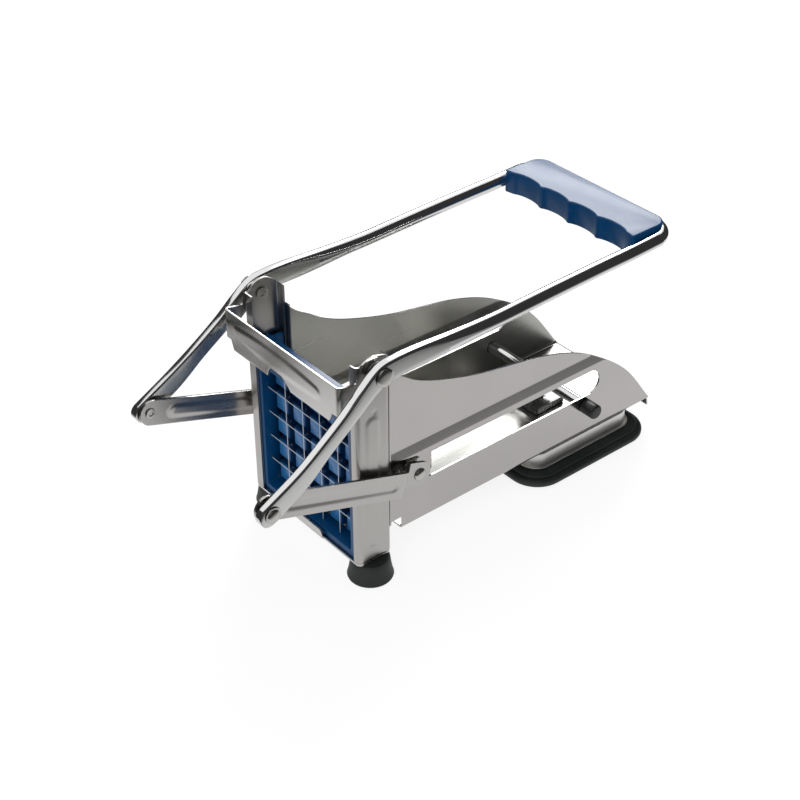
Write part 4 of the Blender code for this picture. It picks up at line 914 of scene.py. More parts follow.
@dataclass
class Posts:
    """Folded steel posts with a crowned top and a long pressed rib."""

    finishes: Finishes
    half_span: float = 46.0
    sheet: float = 1.2
    front: float = -7.0
    rear: float = 14.4
    bend: float = 2.0
    foot: float = 14.5
    front_top: float = 136.2
    rear_top: float = 134.2
    rear_flange: float = 6.0
    far_flange: float = 7.3
    near_flange: float = 4.6
    far_crown: float = 140.4
    near_crown: float = 138.6
    pivot: tuple[float, float] = PIVOT
    rib_low: float = 27.0
    rib_high: float = 99.5
    rib_x: float = 3.0
    rib_half: float = 2.4
    rib_shoulder: float = 2.6
    rib_rise: float = 0.4
    # Dimple as (x, z)
    dimple: tuple[float, float] = (4.4, 106.2)
    dimple_depth: float = 0.22

    def relief(self, spot: Vector) -> Vector:
        """Shift of the web at a spot, for its rib and dimple.

        Args:
            spot: Point of the bare sheet.

        Returns:
            The shift.
        """
        height = self.rib_rise * ridge((self.rib_x, self.rib_low), (self.rib_x, self.rib_high), self.rib_half,
                                       self.rib_shoulder, (spot.x, spot.z))
        off = Vector((spot.x - self.dimple[0], spot.z - self.dimple[1])).length
        dimple = self.dimple_depth * (1.0 - ease((off - 0.4) / 1.5))
        onto_web = ease((spot.y - self.half_span + 2.5) / 1.5)
        return Vector((0.0, (height - dimple) * onto_web, 0.0))

    def build(self, bench: Bench) -> None:
        """Make both posts.

        Args:
            bench: Bench that shapes and fits the pieces.
        """
        for side in Side:
            near = side is Side.RIGHT
            flange = self.near_flange if near else self.far_flange
            crown = self.near_crown if near else self.far_crown
            half = self.sheet / 2
            web = self.half_span - half
            line = rounded([(self.front + half, self.half_span - flange, 0.0), (self.front + half, web, self.bend),
                            (self.rear - half, web, self.bend),
                            (self.rear - half, self.half_span - self.rear_flange, 0.0)], 7, closed=False)
            post = bench.folded("post_" + side.word + "_shell", evened(line, 0.8), Plane.XY, self.foot,
                                crown - self.foot, 126, self.sheet, self.relief)
            middle = (self.front + self.rear) / 2
            top = flowing([(self.rear, self.rear_top), (self.rear - 2.2, self.rear_top + 2.2),
                           (middle + 3.5, crown - 0.5), (middle, crown), (middle - 4.5, crown - 1.2),
                           (self.front + 2.6, self.front_top - 0.4), (self.front, self.front_top)], 6)
            outline = [Vector((self.front - 3, 5.0)), Vector((self.rear + 3, 5.0)),
                       Vector((self.rear + 3, self.rear_top)), *top, Vector((self.front - 3, self.front_top))]
            bench.combine(post, bench.slab("profile", outline, Plane.XZ, 20.0, 40.0), how="INTERSECT")
            bench.combine(post, bench.bores(PIVOT_BORE, *self.pivot))
            bench.soften(post, 0.18)
            if near:
                bench.mirrored(post)
            bench.fit(post, self.finishes.post, "frame", "post_" + side.word)


@dataclass
class FrontFeet:
    """Cross member under the posts, with its rubber feet and their screws."""

    finishes: Finishes
    top: float = 14.2
    sheet: float = 1.2
    half_span: float = 46.0
    front: float = -7.0
    rear: float = 14.4
    lip_half: float = 15.5
    lip_top: float = 18.8
    foot_x: float = 4.0
    foot_y: float = 41.0
    foot_base: float = 12.4
    foot_top: float = 10.5
    bore: float = 2.5
    head: float = 4.2

    def build(self, bench: Bench) -> None:
        """Make the member, the feet and the screws.

        Args:
            bench: Bench that shapes and fits the pieces.
        """
        half = self.sheet / 2
        line = rounded([(self.rear, self.top - half, 0.0), (self.front - half, self.top - half, 1.0),
                        (self.front - half, self.lip_top, 0.0)], 5, closed=False)
        member = bench.folded("front_member_plate", evened(line, 1.2), Plane.XZ, -self.half_span,
                              2 * self.half_span, 90, self.sheet)
        plan = rectangle((self.front, -self.half_span), (self.rear, self.half_span), 3.0)
        lip = rounded([(-self.lip_half, 0.0, 0.0), (self.lip_half, 0.0, 0.0), (self.lip_half, self.lip_top, 2.6),
                       (-self.lip_half, self.lip_top, 2.6)])
        keep = bench.slab("keep", plan, Plane.XY, 0.0, self.top + 0.01)
        nose = bench.slab("nose", lip, Plane.YZ, self.front - self.sheet - 1.0, 3.2)
        bench.combine(keep, nose, how="UNION")
        bench.combine(member, keep, how="INTERSECT")
        for side in Side:
            y = side.value * self.foot_y
            bench.combine(member, bench.rod("hole", self.bore, (self.foot_x, y, 0.0), (self.foot_x, y, 20.0)))
        bench.soften(member, 0.15)
        bench.fit(member, self.finishes.strap, "frame", "front_cross_member")
        for side in Side:
            self.build_foot(bench, side)

    def build_foot(self, bench: Bench, side: Side) -> None:
        """Make one rubber foot and its screw.

        Args:
            bench: Bench that shapes and fits the pieces.
            side: Side of the machine.
        """
        place = (self.foot_x, side.value * self.foot_y, 0.0)
        top = self.top - self.sheet - GAP
        profile = [(self.bore, top), (self.foot_top - 1.0, top), (self.foot_top - 0.3, top - 0.3),
                   (self.foot_top, top - 1.0), (self.foot_top + 0.5, top * 0.6), (self.foot_base - 0.5, 2.6),
                   (self.foot_base, 1.2), (self.foot_base - 0.35, 0.35), (self.foot_base - 1.2, 0.0),
                   (5.2, 0.0), (4.5, 0.6), (4.5, 5.0), (self.bore, 5.0)]
        foot = bench.turned("foot_" + side.word + "_rubber", profile, place, Plane.XY, steps=72)
        bench.fit(foot, self.finishes.rubber, "frame", "front_foot_" + side.word)
        head = [(0.0, self.top), (1.9, self.top), (2.2, self.top - 0.3), (2.2, 4.7), (4.0, 4.7),
                (self.head, 4.4), (self.head, 3.2), (3.2, 2.2), (0.0, 2.1)]
        screw = bench.turned("foot_screw_" + side.word + "_body", head, place, Plane.XY)
        for turn in (0.0, math.pi / 2):
            slot = bench.block("slot", (-2.2, -0.4, 1.5), (2.2, 0.4, 3.4))
            slot.data.transform(Matrix.Translation(place) @ Matrix.Rotation(turn, 4, "Z"))
            bench.combine(screw, slot)
        bench.fit(screw, self.finishes.zinc, "frame", "foot_screw_" + side.word)


@dataclass
class Chute:
    """Folded chute with stepped walls, long slots, front flanges and a rear lip."""

    finishes: Finishes
    sheet: float = 1.0
    wall_half: float = 38.0
    strip_half: float = 39.5
    floor: float = 18.0
    step_low: float = 61.6
    step_high: float = 68.2
    top: float = 123.4
    front: float = 14.7
    rear: float = 214.0
    # Slot as (front, rear, low, high), with a higher lower edge on the far side
    slot: tuple[float, float, float, float] = (20.0, 170.0, 43.15, 58.65)
    far_slot_low: float = 46.3
    seam: float = 1.6
    lip_inset: float = 2.5
    lip_drop: float = 7.0
    notch: tuple[float, float] = (27.0, 25.5)
    flange_outer: float = 44.4
    # Crease behind the slot as (front, rear, height)
    crease: tuple[float, float, float] = (173.0, 192.0, 41.5)
    crease_rise: float = 0.35
    shaft: tuple[float, float] = SHAFT
    # Top edge as shares of the length and of the rise above the floor
    edge: tuple[tuple[float, float], ...] = (
        (0.0, 0.995), (0.03, 0.945), (0.068, 0.900), (0.120, 0.836), (0.205, 0.770),
        (0.345, 0.695), (0.5685, 0.617), (0.729, 0.501), (0.8796, 0.300), (1.0, 0.010),
    )

    def relief(self, spot: Vector) -> Vector:
        """Shift of the sheet at a spot, for its faint crease behind the slot.

        Args:
            spot: Point of the bare sheet.

        Returns:
            The shift.
        """
        out = 1.0 if spot.y > 0 else -1.0
        front, rear, height = self.crease
        crease = self.crease_rise * ridge((front, height), (rear, height), 0.1, 1.1, (spot.x, spot.z))
        return Vector((0.0, out * crease if abs(spot.y) > self.wall_half - 1 else 0.0, 0.0))

    def build(self, bench: Bench) -> None:
        """Make the chute as one sheet.

        Args:
            bench: Bench that shapes and fits the pieces.
        """
        half = self.sheet / 2
        wall, strip, under = self.wall_half - half, self.strip_half - half, self.floor - half
        side = [(wall, self.top + 2, 0.0), (wall, self.step_high, 7.0), (strip, self.step_low, 7.0),
                (strip, under, 2.2)]
        corners = side + [(-y, z, radius) for y, z, radius in side[::-1]]
        line = rounded(corners, 7, closed=False)
        chute = bench.folded("chute_sheet", evened(line, 2.6), Plane.YZ, self.front + half,
                             self.rear - self.front - half, 100, self.sheet, self.relief)
        rise = self.top - self.floor + self.sheet
        keys = [(self.front + along * (self.rear - self.front), self.floor - self.sheet + up * rise)
                for along, up in self.edge]
        curve = flowing(keys, 7)
        outline = [Vector((self.front - 5, 8.0)), Vector((self.rear + 5, 8.0)),
                   Vector((self.rear + 5, curve[-1].y)), *curve[::-1], Vector((self.front - 5, self.top))]
        bench.combine(chute, bench.slab("profile", outline, Plane.XZ, -50.0, 100.0), how="INTERSECT")
        left, right, low, high = self.slot
        near = rectangle((left, low), (right, high), (high - low) / 2 * 0.999, 12)
        far = rectangle((left, self.far_slot_low), (right, high), (high - self.far_slot_low) / 2 * 0.999, 12)
        lip = self.strip_half - self.lip_inset
        bench.combine(chute, bench.slab("near_slot", near, Plane.XZ, -50.0, 40.0),
                      bench.slab("far_slot", far, Plane.XZ, 10.0, 40.0),
                      bench.block("notch", (0.0, -50.0, 0.0), (self.notch[0], 50.0, self.notch[1])),
                      bench.bores(SHAFT_BORE, *self.shaft),
                      bench.rod("stud_hole", STUD_BORE, (PAD_SETBACK, 0.0, 10.0), (PAD_SETBACK, 0.0, 24.0)),
                      bench.block("lip_place", (self.rear - self.seam, -lip, self.floor - 3.0),
                                  (self.rear + 5.0, lip, self.floor + 1.0)))
        bench.soften(chute, SHEET_EDGE)
        parts = [chute, self.lip(bench), *(self.flange(bench, hand) for hand in Side)]
        shell = bench.fit(bench.joined("chute_shell", parts), self.finishes.wall, "frame", "chute", even=True)
        # Inner faces and the floor inside the chute take the darker inside steel: painted shade
        bench.second(shell, self.finishes.inside, lambda centre, normal: (
            centre.y * normal.y < -0.02 or (normal.z > 0.6 and abs(centre.y) < 0.0365 and centre.z < 0.03)))

    def flange(self, bench: Bench, side: Side) -> bpy.types.Object:
        """Flange that holds the chute to one post.

        Args:
            bench: Bench that shapes and fits the pieces.
            side: Side of the machine.

        Returns:
            The flange.
        """
        mid = self.sheet / 2
        outline = rounded([(self.wall_half - mid, self.top, 0.0), (self.wall_half - mid, self.step_high, 0.0),
                           (self.strip_half - mid, self.step_low, 0.0),
                           (self.strip_half - mid, self.notch[1] + 0.3, 0.0),
                           (self.flange_outer, self.notch[1] + 0.3, 4.0), (self.flange_outer, self.top, 4.0)])
        flange = bench.slab("flange", outline, Plane.YZ, self.front, self.sheet)
        bench.soften(flange, SHEET_EDGE)
        return bench.mirrored(flange) if side is Side.RIGHT else flange

    def lip(self, bench: Bench) -> bpy.types.Object:
        """Lip that turns down at the floor's rear end.

        Args:
            bench: Bench that shapes and fits the pieces.

        Returns:
            The lip.
        """
        half = self.sheet / 2
        line = rounded([(self.rear - self.seam, self.floor - half, 0.0),
                        (self.rear + half, self.floor - half, 2.0),
                        (self.rear + 1.2 + half, self.floor - self.lip_drop, 0.0)], 6, closed=False)
        width = self.strip_half - self.lip_inset
        lip = bench.folded("lip", evened(line, 1.0), Plane.XZ, -width, 2 * width, 20, self.sheet)
        return bench.soften(lip, 0.15)


@dataclass
class SuctionFoot:
    """Pressed housing on a rubber pad, with the stud, its guide and the cam shaft."""

    finishes: Finishes
    centre: float = PAD_SETBACK
    shift: float = 0.9
    pad_length: float = 96.2
    pad_half: float = 48.8
    pad_corner: float = 18.0
    pad_step: float = 3.5
    box_length: float = 77.0
    box_half: float = 38.2
    box_base: float = 6.3
    box_top: float = 16.7
    box_corner: float = 9.0
    rim: float = 1.8
    recess: float = 6.6
    recess_top: float = 7.3
    guide_half: float = 11.0
    guide_base: float = 18.3
    guide_height: float = 4.0
    shaft: tuple[float, float] = SHAFT
    yoke: tuple[float, float] = (9.9, 7.9)
    eye: tuple[float, float] = (7.3, 5.3)
    yoke_half: float = 4.2
    bar: float = 3.3
    bar_ends: tuple[float, float] = (-44.0, 44.7)
    cam: float = 4.6
    cam_half: float = 4.8
    throw: float = 2.0
    strip: float = 39.5
    lever_length: float = 24.0
    lever_sheet: float = 2.6
    lever_turn: float = 20.0

    def plan(self, length: float, half: float, radius: float) -> list[Vector]:
        """Rounded rectangle about the pad's centre."""
        low, high = self.centre + self.shift - length / 2, self.centre + self.shift + length / 2
        return rectangle((low, -half), (high, half), radius, 12)

    def build(self, bench: Bench) -> None:
        """Make every piece of the suction foot.

        Args:
            bench: Bench that shapes and fits the pieces.
        """
        pad = bench.slab("pad_base", self.plan(self.pad_length, self.pad_half, self.pad_corner), Plane.XY, 0.0, 4.4)
        bench.soften(pad, 1.9, 5, 60.0)
        plan = self.plan(self.pad_length - 2 * self.pad_step, self.pad_half - self.pad_step,
                         self.pad_corner - self.pad_step)
        step = bench.slab("pad_step", plan, Plane.XY, 2.0, 4.0)
        bench.soften(step, 0.8, 3, 60.0)
        pad = bench.joined("suction_pad_rubber", [pad, step])
        bench.fit(pad, self.finishes.rubber, "frame", "suction_pad", angle=FULL_ANGLE)
        self.build_housing(bench)
        self.build_stud(bench)
        self.build_shaft(bench)

    def build_housing(self, bench: Bench) -> None:
        """Make the pressed box and its rim.

        Args:
            bench: Bench that shapes and fits the pieces.
        """
        box = bench.slab("box", self.plan(self.box_length, self.box_half, self.box_corner), Plane.XY,
                         self.box_base, self.box_top - self.box_base)
        bench.soften(box, 1.6, 4, 60.0)
        plan = self.plan(self.box_length + 2 * self.rim, self.box_half + self.rim, self.box_corner + self.rim)
        rim = bench.slab("rim", plan, Plane.XY, self.box_base, 1.6)
        bench.soften(rim, 0.5, 3, 60.0)
        foot, head = (self.centre, 0.0, 0.0), (self.centre, 0.0, 30.0)
        for part in (box, rim):
            bench.combine(part, bench.rod("bore", STUD_BORE, foot, head),
                          bench.rod("recess", self.recess, foot, (self.centre, 0.0, self.recess_top)))
        housing = bench.joined("suction_housing_shell", [box, rim])
        bench.fit(housing, self.finishes.housing, "frame", "suction_housing", angle=FIRM_ANGLE)
        plan = rectangle((self.centre - self.guide_half, -self.guide_half),
                         (self.centre + self.guide_half, self.guide_half), 1.2)
        guide = bench.slab("stud_guide_block", plan, Plane.XY, self.guide_base, self.guide_height)
        bench.combine(guide, bench.rod("bore", STUD_BORE, foot, head))
        bench.soften(guide, 0.4, 3)
        bench.fit(guide, self.finishes.guide, "frame", "stud_guide")

    def build_stud(self, bench: Bench) -> None:
        """Make the stud with its foot and its slotted yoke.

        Args:
            bench: Bench that shapes and fits the pieces.
        """
        x, z = self.shaft
        length, height = self.yoke
        rim = rectangle((x - length, z - height), (x + length, z + height), 3.0)
        yoke = bench.slab("yoke", rim, Plane.XZ, -self.yoke_half, 2 * self.yoke_half)
        length, height = self.eye
        eye = rectangle((x - length, z - height), (x + length, z + height), height - 0.01, 10)
        bench.combine(yoke, bench.slab("eye", eye, Plane.XZ, -6.0, 12.0))
        bench.soften(yoke, 0.4, 3)
        profile = [(0.0, 30.0), (2.8, 30.0), (3.0, 29.8), (3.0, 4.8), (5.7, 4.8), (6.0, 4.5), (6.0, 3.1),
                   (5.7, 2.8), (0.0, 2.8)]
        rod = bench.turned("rod", profile, (self.centre, 0.0, 0.0), Plane.XY)
        stud = bench.joined("suction_stud_body", [yoke, rod])
        bench.fit(stud, self.finishes.zinc, "suction_stud", "suction_stud")

    def build_shaft(self, bench: Bench) -> None:
        """Make the cam shaft, its cap, the lever and the lever's nut.

        Args:
            bench: Bench that shapes and fits the pieces.
        """
        x, z = self.shaft
        right, left = self.bar_ends
        shaft = bench.rod("bar", self.bar, (x, right, z), (x, left, z))
        cam = bench.rod("cam", self.cam, (x + self.throw, -self.cam_half, z), (x + self.throw, self.cam_half, z))
        bench.combine(shaft, cam, how="UNION")
        bench.soften(shaft, 0.3, 3)
        bench.fit(bench.joined("cam_shaft_bar", [shaft]), self.finishes.chrome, "suction_shaft", "cam_shaft")
        inner = self.strip + GAP
        profile = [(0.0, inner + 9.4), (2.6, inner + 9.4), (3.7, inner + 9.25), (4.2, inner + 8.7),
                   (4.3, inner + 8.1), (4.3, inner + 0.4), (4.0, inner), (SHAFT_BORE, inner),
                   (SHAFT_BORE, inner + 4.3), (0.0, inner + 4.3)]
        cap = bench.turned("shaft_cap_moulding", profile, (x, 0.0, z), Plane.XZ, Side.RIGHT, 64)
        bench.fit(cap, self.finishes.black, "suction_shaft", "shaft_cap", angle=FIRM_ANGLE)
        boss = [Vector((5.2 * math.cos(a), 5.2 * math.sin(a)))
                for a in (math.radians(93 - 6.2 * step) for step in range(31))]
        tip = [Vector((4.0 * math.cos(a) - self.lever_length, 4.0 * math.sin(a)))
               for a in (math.radians(267 - 5.8 * step) for step in range(31))]
        lever = bench.slab("plate", boss + tip, Plane.XZ, inner, self.lever_sheet)
        bench.combine(lever, bench.rod("hole", SHAFT_BORE, (0.0, 30.0, 0.0), (0.0, 60.0, 0.0)))
        bench.soften(lever, 0.5, 3)
        plan = rectangle((-self.lever_length - 2.0, -2.0), (2.0 - self.lever_length, 2.0), 1.0)
        tab = bench.slab("tab", plan, Plane.XZ, inner + 1.3, 7.3)
        bench.soften(tab, 0.5, 3)
        lever = bench.joined("suction_lever_moulding", [lever, tab])
        lever.data.transform(Matrix.Translation((x, 0.0, z))
                             @ Matrix.Rotation(-math.radians(self.lever_turn), 4, "Y"))
        bench.fit(lever, self.finishes.black, "suction_shaft", "suction_lever")
        low = inner + self.lever_sheet + GAP
        ring = [(SHAFT_BORE, low + 2.0), (4.0, low + 2.0), (4.2, low + 1.8), (4.2, low + 0.2), (4.0, low),
                (SHAFT_BORE, low)]
        nut = bench.turned("lever_nut_ring", ring, (x, 0.0, z), Plane.XZ)
        bench.fit(nut, self.finishes.zinc, "suction_shaft", "lever_nut")


# Cassette

@dataclass
class Cassette:
    """Lift-out cassette: a moulded frame with a grid of ground blades."""

    finishes: Finishes
    half: float = 43.6
    front: float = -5.4
    depth: float = 9.9
    foot: float = 14.5
    top: float = 108.8
    open_half: float = 36.7
    open_low: float = 18.2
    open_high: float = 95.4
    cells: int = 5
    sheet: float = 0.6
    blade_front: float = -1.0
    blade_depth: float = 5.0
    step: float = 0.4
    seat: float = 2.0
    notch_gap: float = 0.06
    lap_gap: float = 0.15
    runner: tuple[float, float] = (40.3, 43.3)

    def lines(self) -> tuple[list[float], list[float]]:
        """Middle lines of the upright blades (y) and the level blades (z).

        Returns:
            Places of the upright blades and of the level blades.
        """
        width = 2 * self.open_half / self.cells
        height = (self.open_high - self.open_low) / self.cells
        return ([width * n - self.open_half for n in range(1, self.cells)],
                [height * n + self.open_low for n in range(1, self.cells)])

    def build(self, bench: Bench) -> None:
        """Make the frame and its blades.

        Args:
            bench: Bench that shapes and fits the pieces.
        """
        rim = rectangle((-self.half, self.foot), (self.half, self.top), 3.0, 8)
        frame = bench.slab("cassette_moulding", rim, Plane.YZ, self.front, self.depth)
        mouth = rectangle((-self.open_half, self.open_low), (self.open_half, self.open_high), 1.4, 6)
        bench.combine(frame, bench.slab("mouth", mouth, Plane.YZ, self.front - 3, self.depth + 6))
        bench.soften(frame, 0.7, 3)
        parts = [frame]
        for side in Side:
            low, high = sorted(side.value * y for y in self.runner)
            runner = bench.block("runner", (-1.0, low, 17.5), (12.9, high, self.top - 3.0))
            parts.append(bench.soften(runner, 0.6, 3))
        bench.fit(bench.joined("cassette_moulding", parts), self.finishes.navy, "cassette", "cassette_frame")
        self.build_blades(bench)

    def comb(self, low: float, high: float, notches: Sequence[float], from_front: bool,
             ends: tuple[float, float]) -> list[Vector]:
        """Outline of a strip with half-lap notches along one edge.

        Args:
            low: Front edge of the strip.
            high: Rear edge of the strip.
            notches: Places of the notches along the strip.
            from_front: Whether they open to the front.
            ends: Both ends of the strip.

        Returns:
            Points of the outline.
        """
        middle = self.blade_front + self.blade_depth / 2
        half = self.sheet / 2 + self.notch_gap
        edge, floor = (low, middle + self.lap_gap) if from_front else (high, middle - self.step - self.lap_gap)
        line = [(edge, ends[0])]
        for place in notches:
            line += [(edge, place - half), (floor, place - half), (floor, place + half), (edge, place + half)]
        back = high if from_front else low
        line += [(edge, ends[1]), (back, ends[1]), (back, ends[0])]
        return [Vector(point) for point in line]

    def build_blades(self, bench: Bench) -> None:
        """Make the half-lapped strips.

        Args:
            bench: Bench that shapes and fits the pieces.
        """
        upright, level = self.lines()
        rear = self.blade_front + self.blade_depth
        for index, y in enumerate(upright):
            outline = self.comb(self.blade_front, rear, level, True,
                                (self.open_low - self.seat, self.open_high + self.seat))
            blade = bench.slab("upright_blade_%d" % (index + 1), outline, Plane.XZ, y - self.sheet / 2, self.sheet)
            bench.soften(blade, 0.12, 1)
            bench.fit(blade, self.finishes.blade, "cassette", "blade_upright_%d" % (index + 1))
            bench.second(blade, self.finishes.edge, lambda centre, normal: normal.x < -0.6)
        reach = self.open_half + self.seat
        for index, z in enumerate(level):
            outline = self.comb(self.blade_front - self.step, rear - self.step, upright, False, (-reach, reach))
            blade = bench.slab("level_blade_%d" % (index + 1), outline, Plane.XY, z - self.sheet / 2, self.sheet)
            bench.soften(blade, 0.12, 1)
            bench.fit(blade, self.finishes.blade, "cassette", "blade_level_%d" % (index + 1))
            bench.second(blade, self.finishes.edge, lambda centre, normal: normal.x < -0.6)


# Pusher

@dataclass
class Pusher:
    """Fingered block on a steel plate, which slides in the chute on two pins."""

    finishes: Finishes
    cassette: Cassette
    tip: float = 4.9
    reach: float = 3.2
    length: float = 8.0
    finger_gap: float = 1.0
    taper: tuple[float, float] = (0.74, 0.78)
    base: float = 5.0
    half: float = 36.4
    low: float = 18.7
    top: float = 93.2
    sheet: float = 1.2
    plate_top: float = 88.2
    ear_half: float = 9.0
    ear_rear: float = 49.0
    ear_outer: float = 36.7
    pin: tuple[float, float] = PIN
    eye_outer: float = 42.9

    def build(self, bench: Bench) -> None:
        """Make the block, the plate, the screws and the pins.

        Args:
            bench: Bench that shapes and fits the pieces.
        """
        rim = rectangle((-self.half, self.low), (self.half, self.top), 1.5)
        base = bench.slab("base", rim, Plane.YZ, self.tip + self.length, self.base)
        parts = [bench.soften(base, 0.6, 3)]
        cells = self.cassette.cells
        width = 2 * self.cassette.open_half / cells
        height = (self.cassette.open_high - self.cassette.open_low) / cells
        for row in range(cells):
            for column in range(cells):
                y = width * (column + 0.5) - self.cassette.open_half
                z = height * (row + 0.5) + self.cassette.open_low
                parts.append(self.finger(bench, y, z, width / 2 - self.finger_gap, height / 2 - self.finger_gap))
        block = bench.fit(bench.joined("pusher_moulding", parts), self.finishes.finger, "pusher", "pusher_block")
        # Front faces of the fingers take the lighter finger blue: painted light
        bench.second(block, self.finishes.finger_face_painted_light, lambda centre, normal: normal.x < -0.97 and centre.x < -0.15)
        self.build_plate(bench, width, height)
        for side in Side:
            self.build_pin(bench, side)

    def finger(self, bench: Bench, y: float, z: float, half_width: float, half_height: float) -> bpy.types.Object:
        """One square finger that narrows a little towards its tip.

        Args:
            bench: Bench that shapes and fits the pieces.
            y: Place of the finger's middle line, sideways.
            z: The same, upwards.
            half_width: Half of its width at the root.
            half_height: Half of its height there.

        Returns:
            The finger.
        """
        root, tip = self.tip + self.length + 1.0, self.tip - self.reach
        shape = bmesh.new()
        bmesh.ops.create_cube(shape, size=2.0)
        bmesh.ops.scale(shape, vec=((root - tip) / 2, half_width, half_height), verts=shape.verts)
        front = [vertex for vertex in shape.verts if vertex.co.x < 0]
        bmesh.ops.scale(shape, vec=(1.0, *self.taper), verts=front)
        bmesh.ops.translate(shape, vec=((root + tip) / 2, y, z), verts=shape.verts)
        bmesh.ops.bevel(shape, geom=list(shape.edges), offset=0.6, offset_type="OFFSET", segments=2,
                        profile=0.5, affect="EDGES", material=-1)
        return bench.piece("finger", shape)

    def build_plate(self, bench: Bench, width: float, height: float) -> None:
        """Make the plate with its two ears, and the four screws.

        Args:
            bench: Bench that shapes and fits the pieces.
            width: Width of one cell of the grid.
            height: Height of one cell.
        """
        front = self.tip + self.length + self.base + GAP
        half, top = self.sheet / 2, self.plate_top
        line = rounded([(self.ear_rear, self.ear_outer - half, 0.0), (front + half, self.ear_outer - half, 1.8),
                        (front + half, half - self.ear_outer, 1.8), (self.ear_rear, half - self.ear_outer, 0.0)],
                       6, closed=False)
        plate = bench.folded("plate", evened(line, 2.0), Plane.XY, self.low, top - self.low, 40, self.sheet)
        x, z = self.pin
        edge = front + self.sheet
        low, high = z - self.ear_half, z + self.ear_half
        side = rounded([(edge, low, 2.0), (self.ear_rear, low, 4.0), (self.ear_rear, high, 4.0),
                        (edge, high, 2.0), (edge, top + 3, 0.0), (front - 3, top + 3, 0.0),
                        (front - 3, self.low - 3, 0.0), (edge, self.low - 3, 0.0)])
        bench.combine(plate, bench.slab("side", side, Plane.XZ, -45.0, 90.0), how="INTERSECT")
        bench.combine(plate, bench.bores(PIN_BORE, x, z))
        bench.soften(plate, SHEET_EDGE)
        middle = (self.cassette.open_low + self.cassette.open_high) / 2
        spots = [(y * width, middle + up * height) for up in (-1, 1) for y in (1, -1)]
        bench.combine(plate, *(bench.rod("hole", 1.8, (front - 2, y, up), (edge + 2, y, up)) for y, up in spots))
        bench.fit(plate, self.finishes.wall, "pusher", "pusher_plate")
        head = edge + GAP
        for index, (y, up) in enumerate(spots):
            profile = [(0.0, head + 0.9), (2.0, head + 0.82), (2.9, head + 0.5), (3.2, head), (1.5, head),
                       (1.5, 12.9), (0.0, 12.9)]
            screw = bench.turned("plate_screw_%d" % (index + 1), profile, (0.0, y, up), Plane.YZ, steps=40)
            for turn in (0.25, 0.75):
                slot = bench.block("slot", (head + 0.3, -1.6, -0.3), (head + 2.0, 1.6, 0.3))
                slot.data.transform(Matrix.Translation((0.0, y, up)) @ Matrix.Rotation(math.pi * turn, 4, "X"))
                bench.combine(screw, slot)
            bench.fit(screw, self.finishes.zinc, "pusher", "pusher_screw_%d" % (index + 1))

    def build_pin(self, bench: Bench, side: Side) -> None:
        """Make one pin with its shoulder and riveted ends.

        Args:
            bench: Bench that shapes and fits the pieces.
            side: Side of the machine.
        """
        outer, shoulder = self.eye_outer + GAP, self.eye_outer - 1.8
        inner = self.ear_outer - self.sheet - GAP
        profile = [(0.0, outer + 1.4), (1.5, outer + 1.32), (2.7, outer + 1.0), (3.4, outer + 0.45),
                   (3.6, outer), (2.6, outer), (2.6, shoulder), (4.2, shoulder), (4.4, shoulder - 0.2),
                   (4.4, self.ear_outer + 0.5), (4.2, self.ear_outer + GAP), (2.6, self.ear_outer + GAP),
                   (2.6, inner), (3.6, inner), (3.4, inner - 0.8), (2.4, inner - 1.35), (0.0, inner - 1.4)]
        pin = bench.turned("slide_pin_" + side.word, profile, (self.pin[0], 0.0, self.pin[1]), Plane.XZ, side)
        bench.fit(pin, self.finishes.zinc, "pusher", "pusher_pin_" + side.word)


# Handle and links

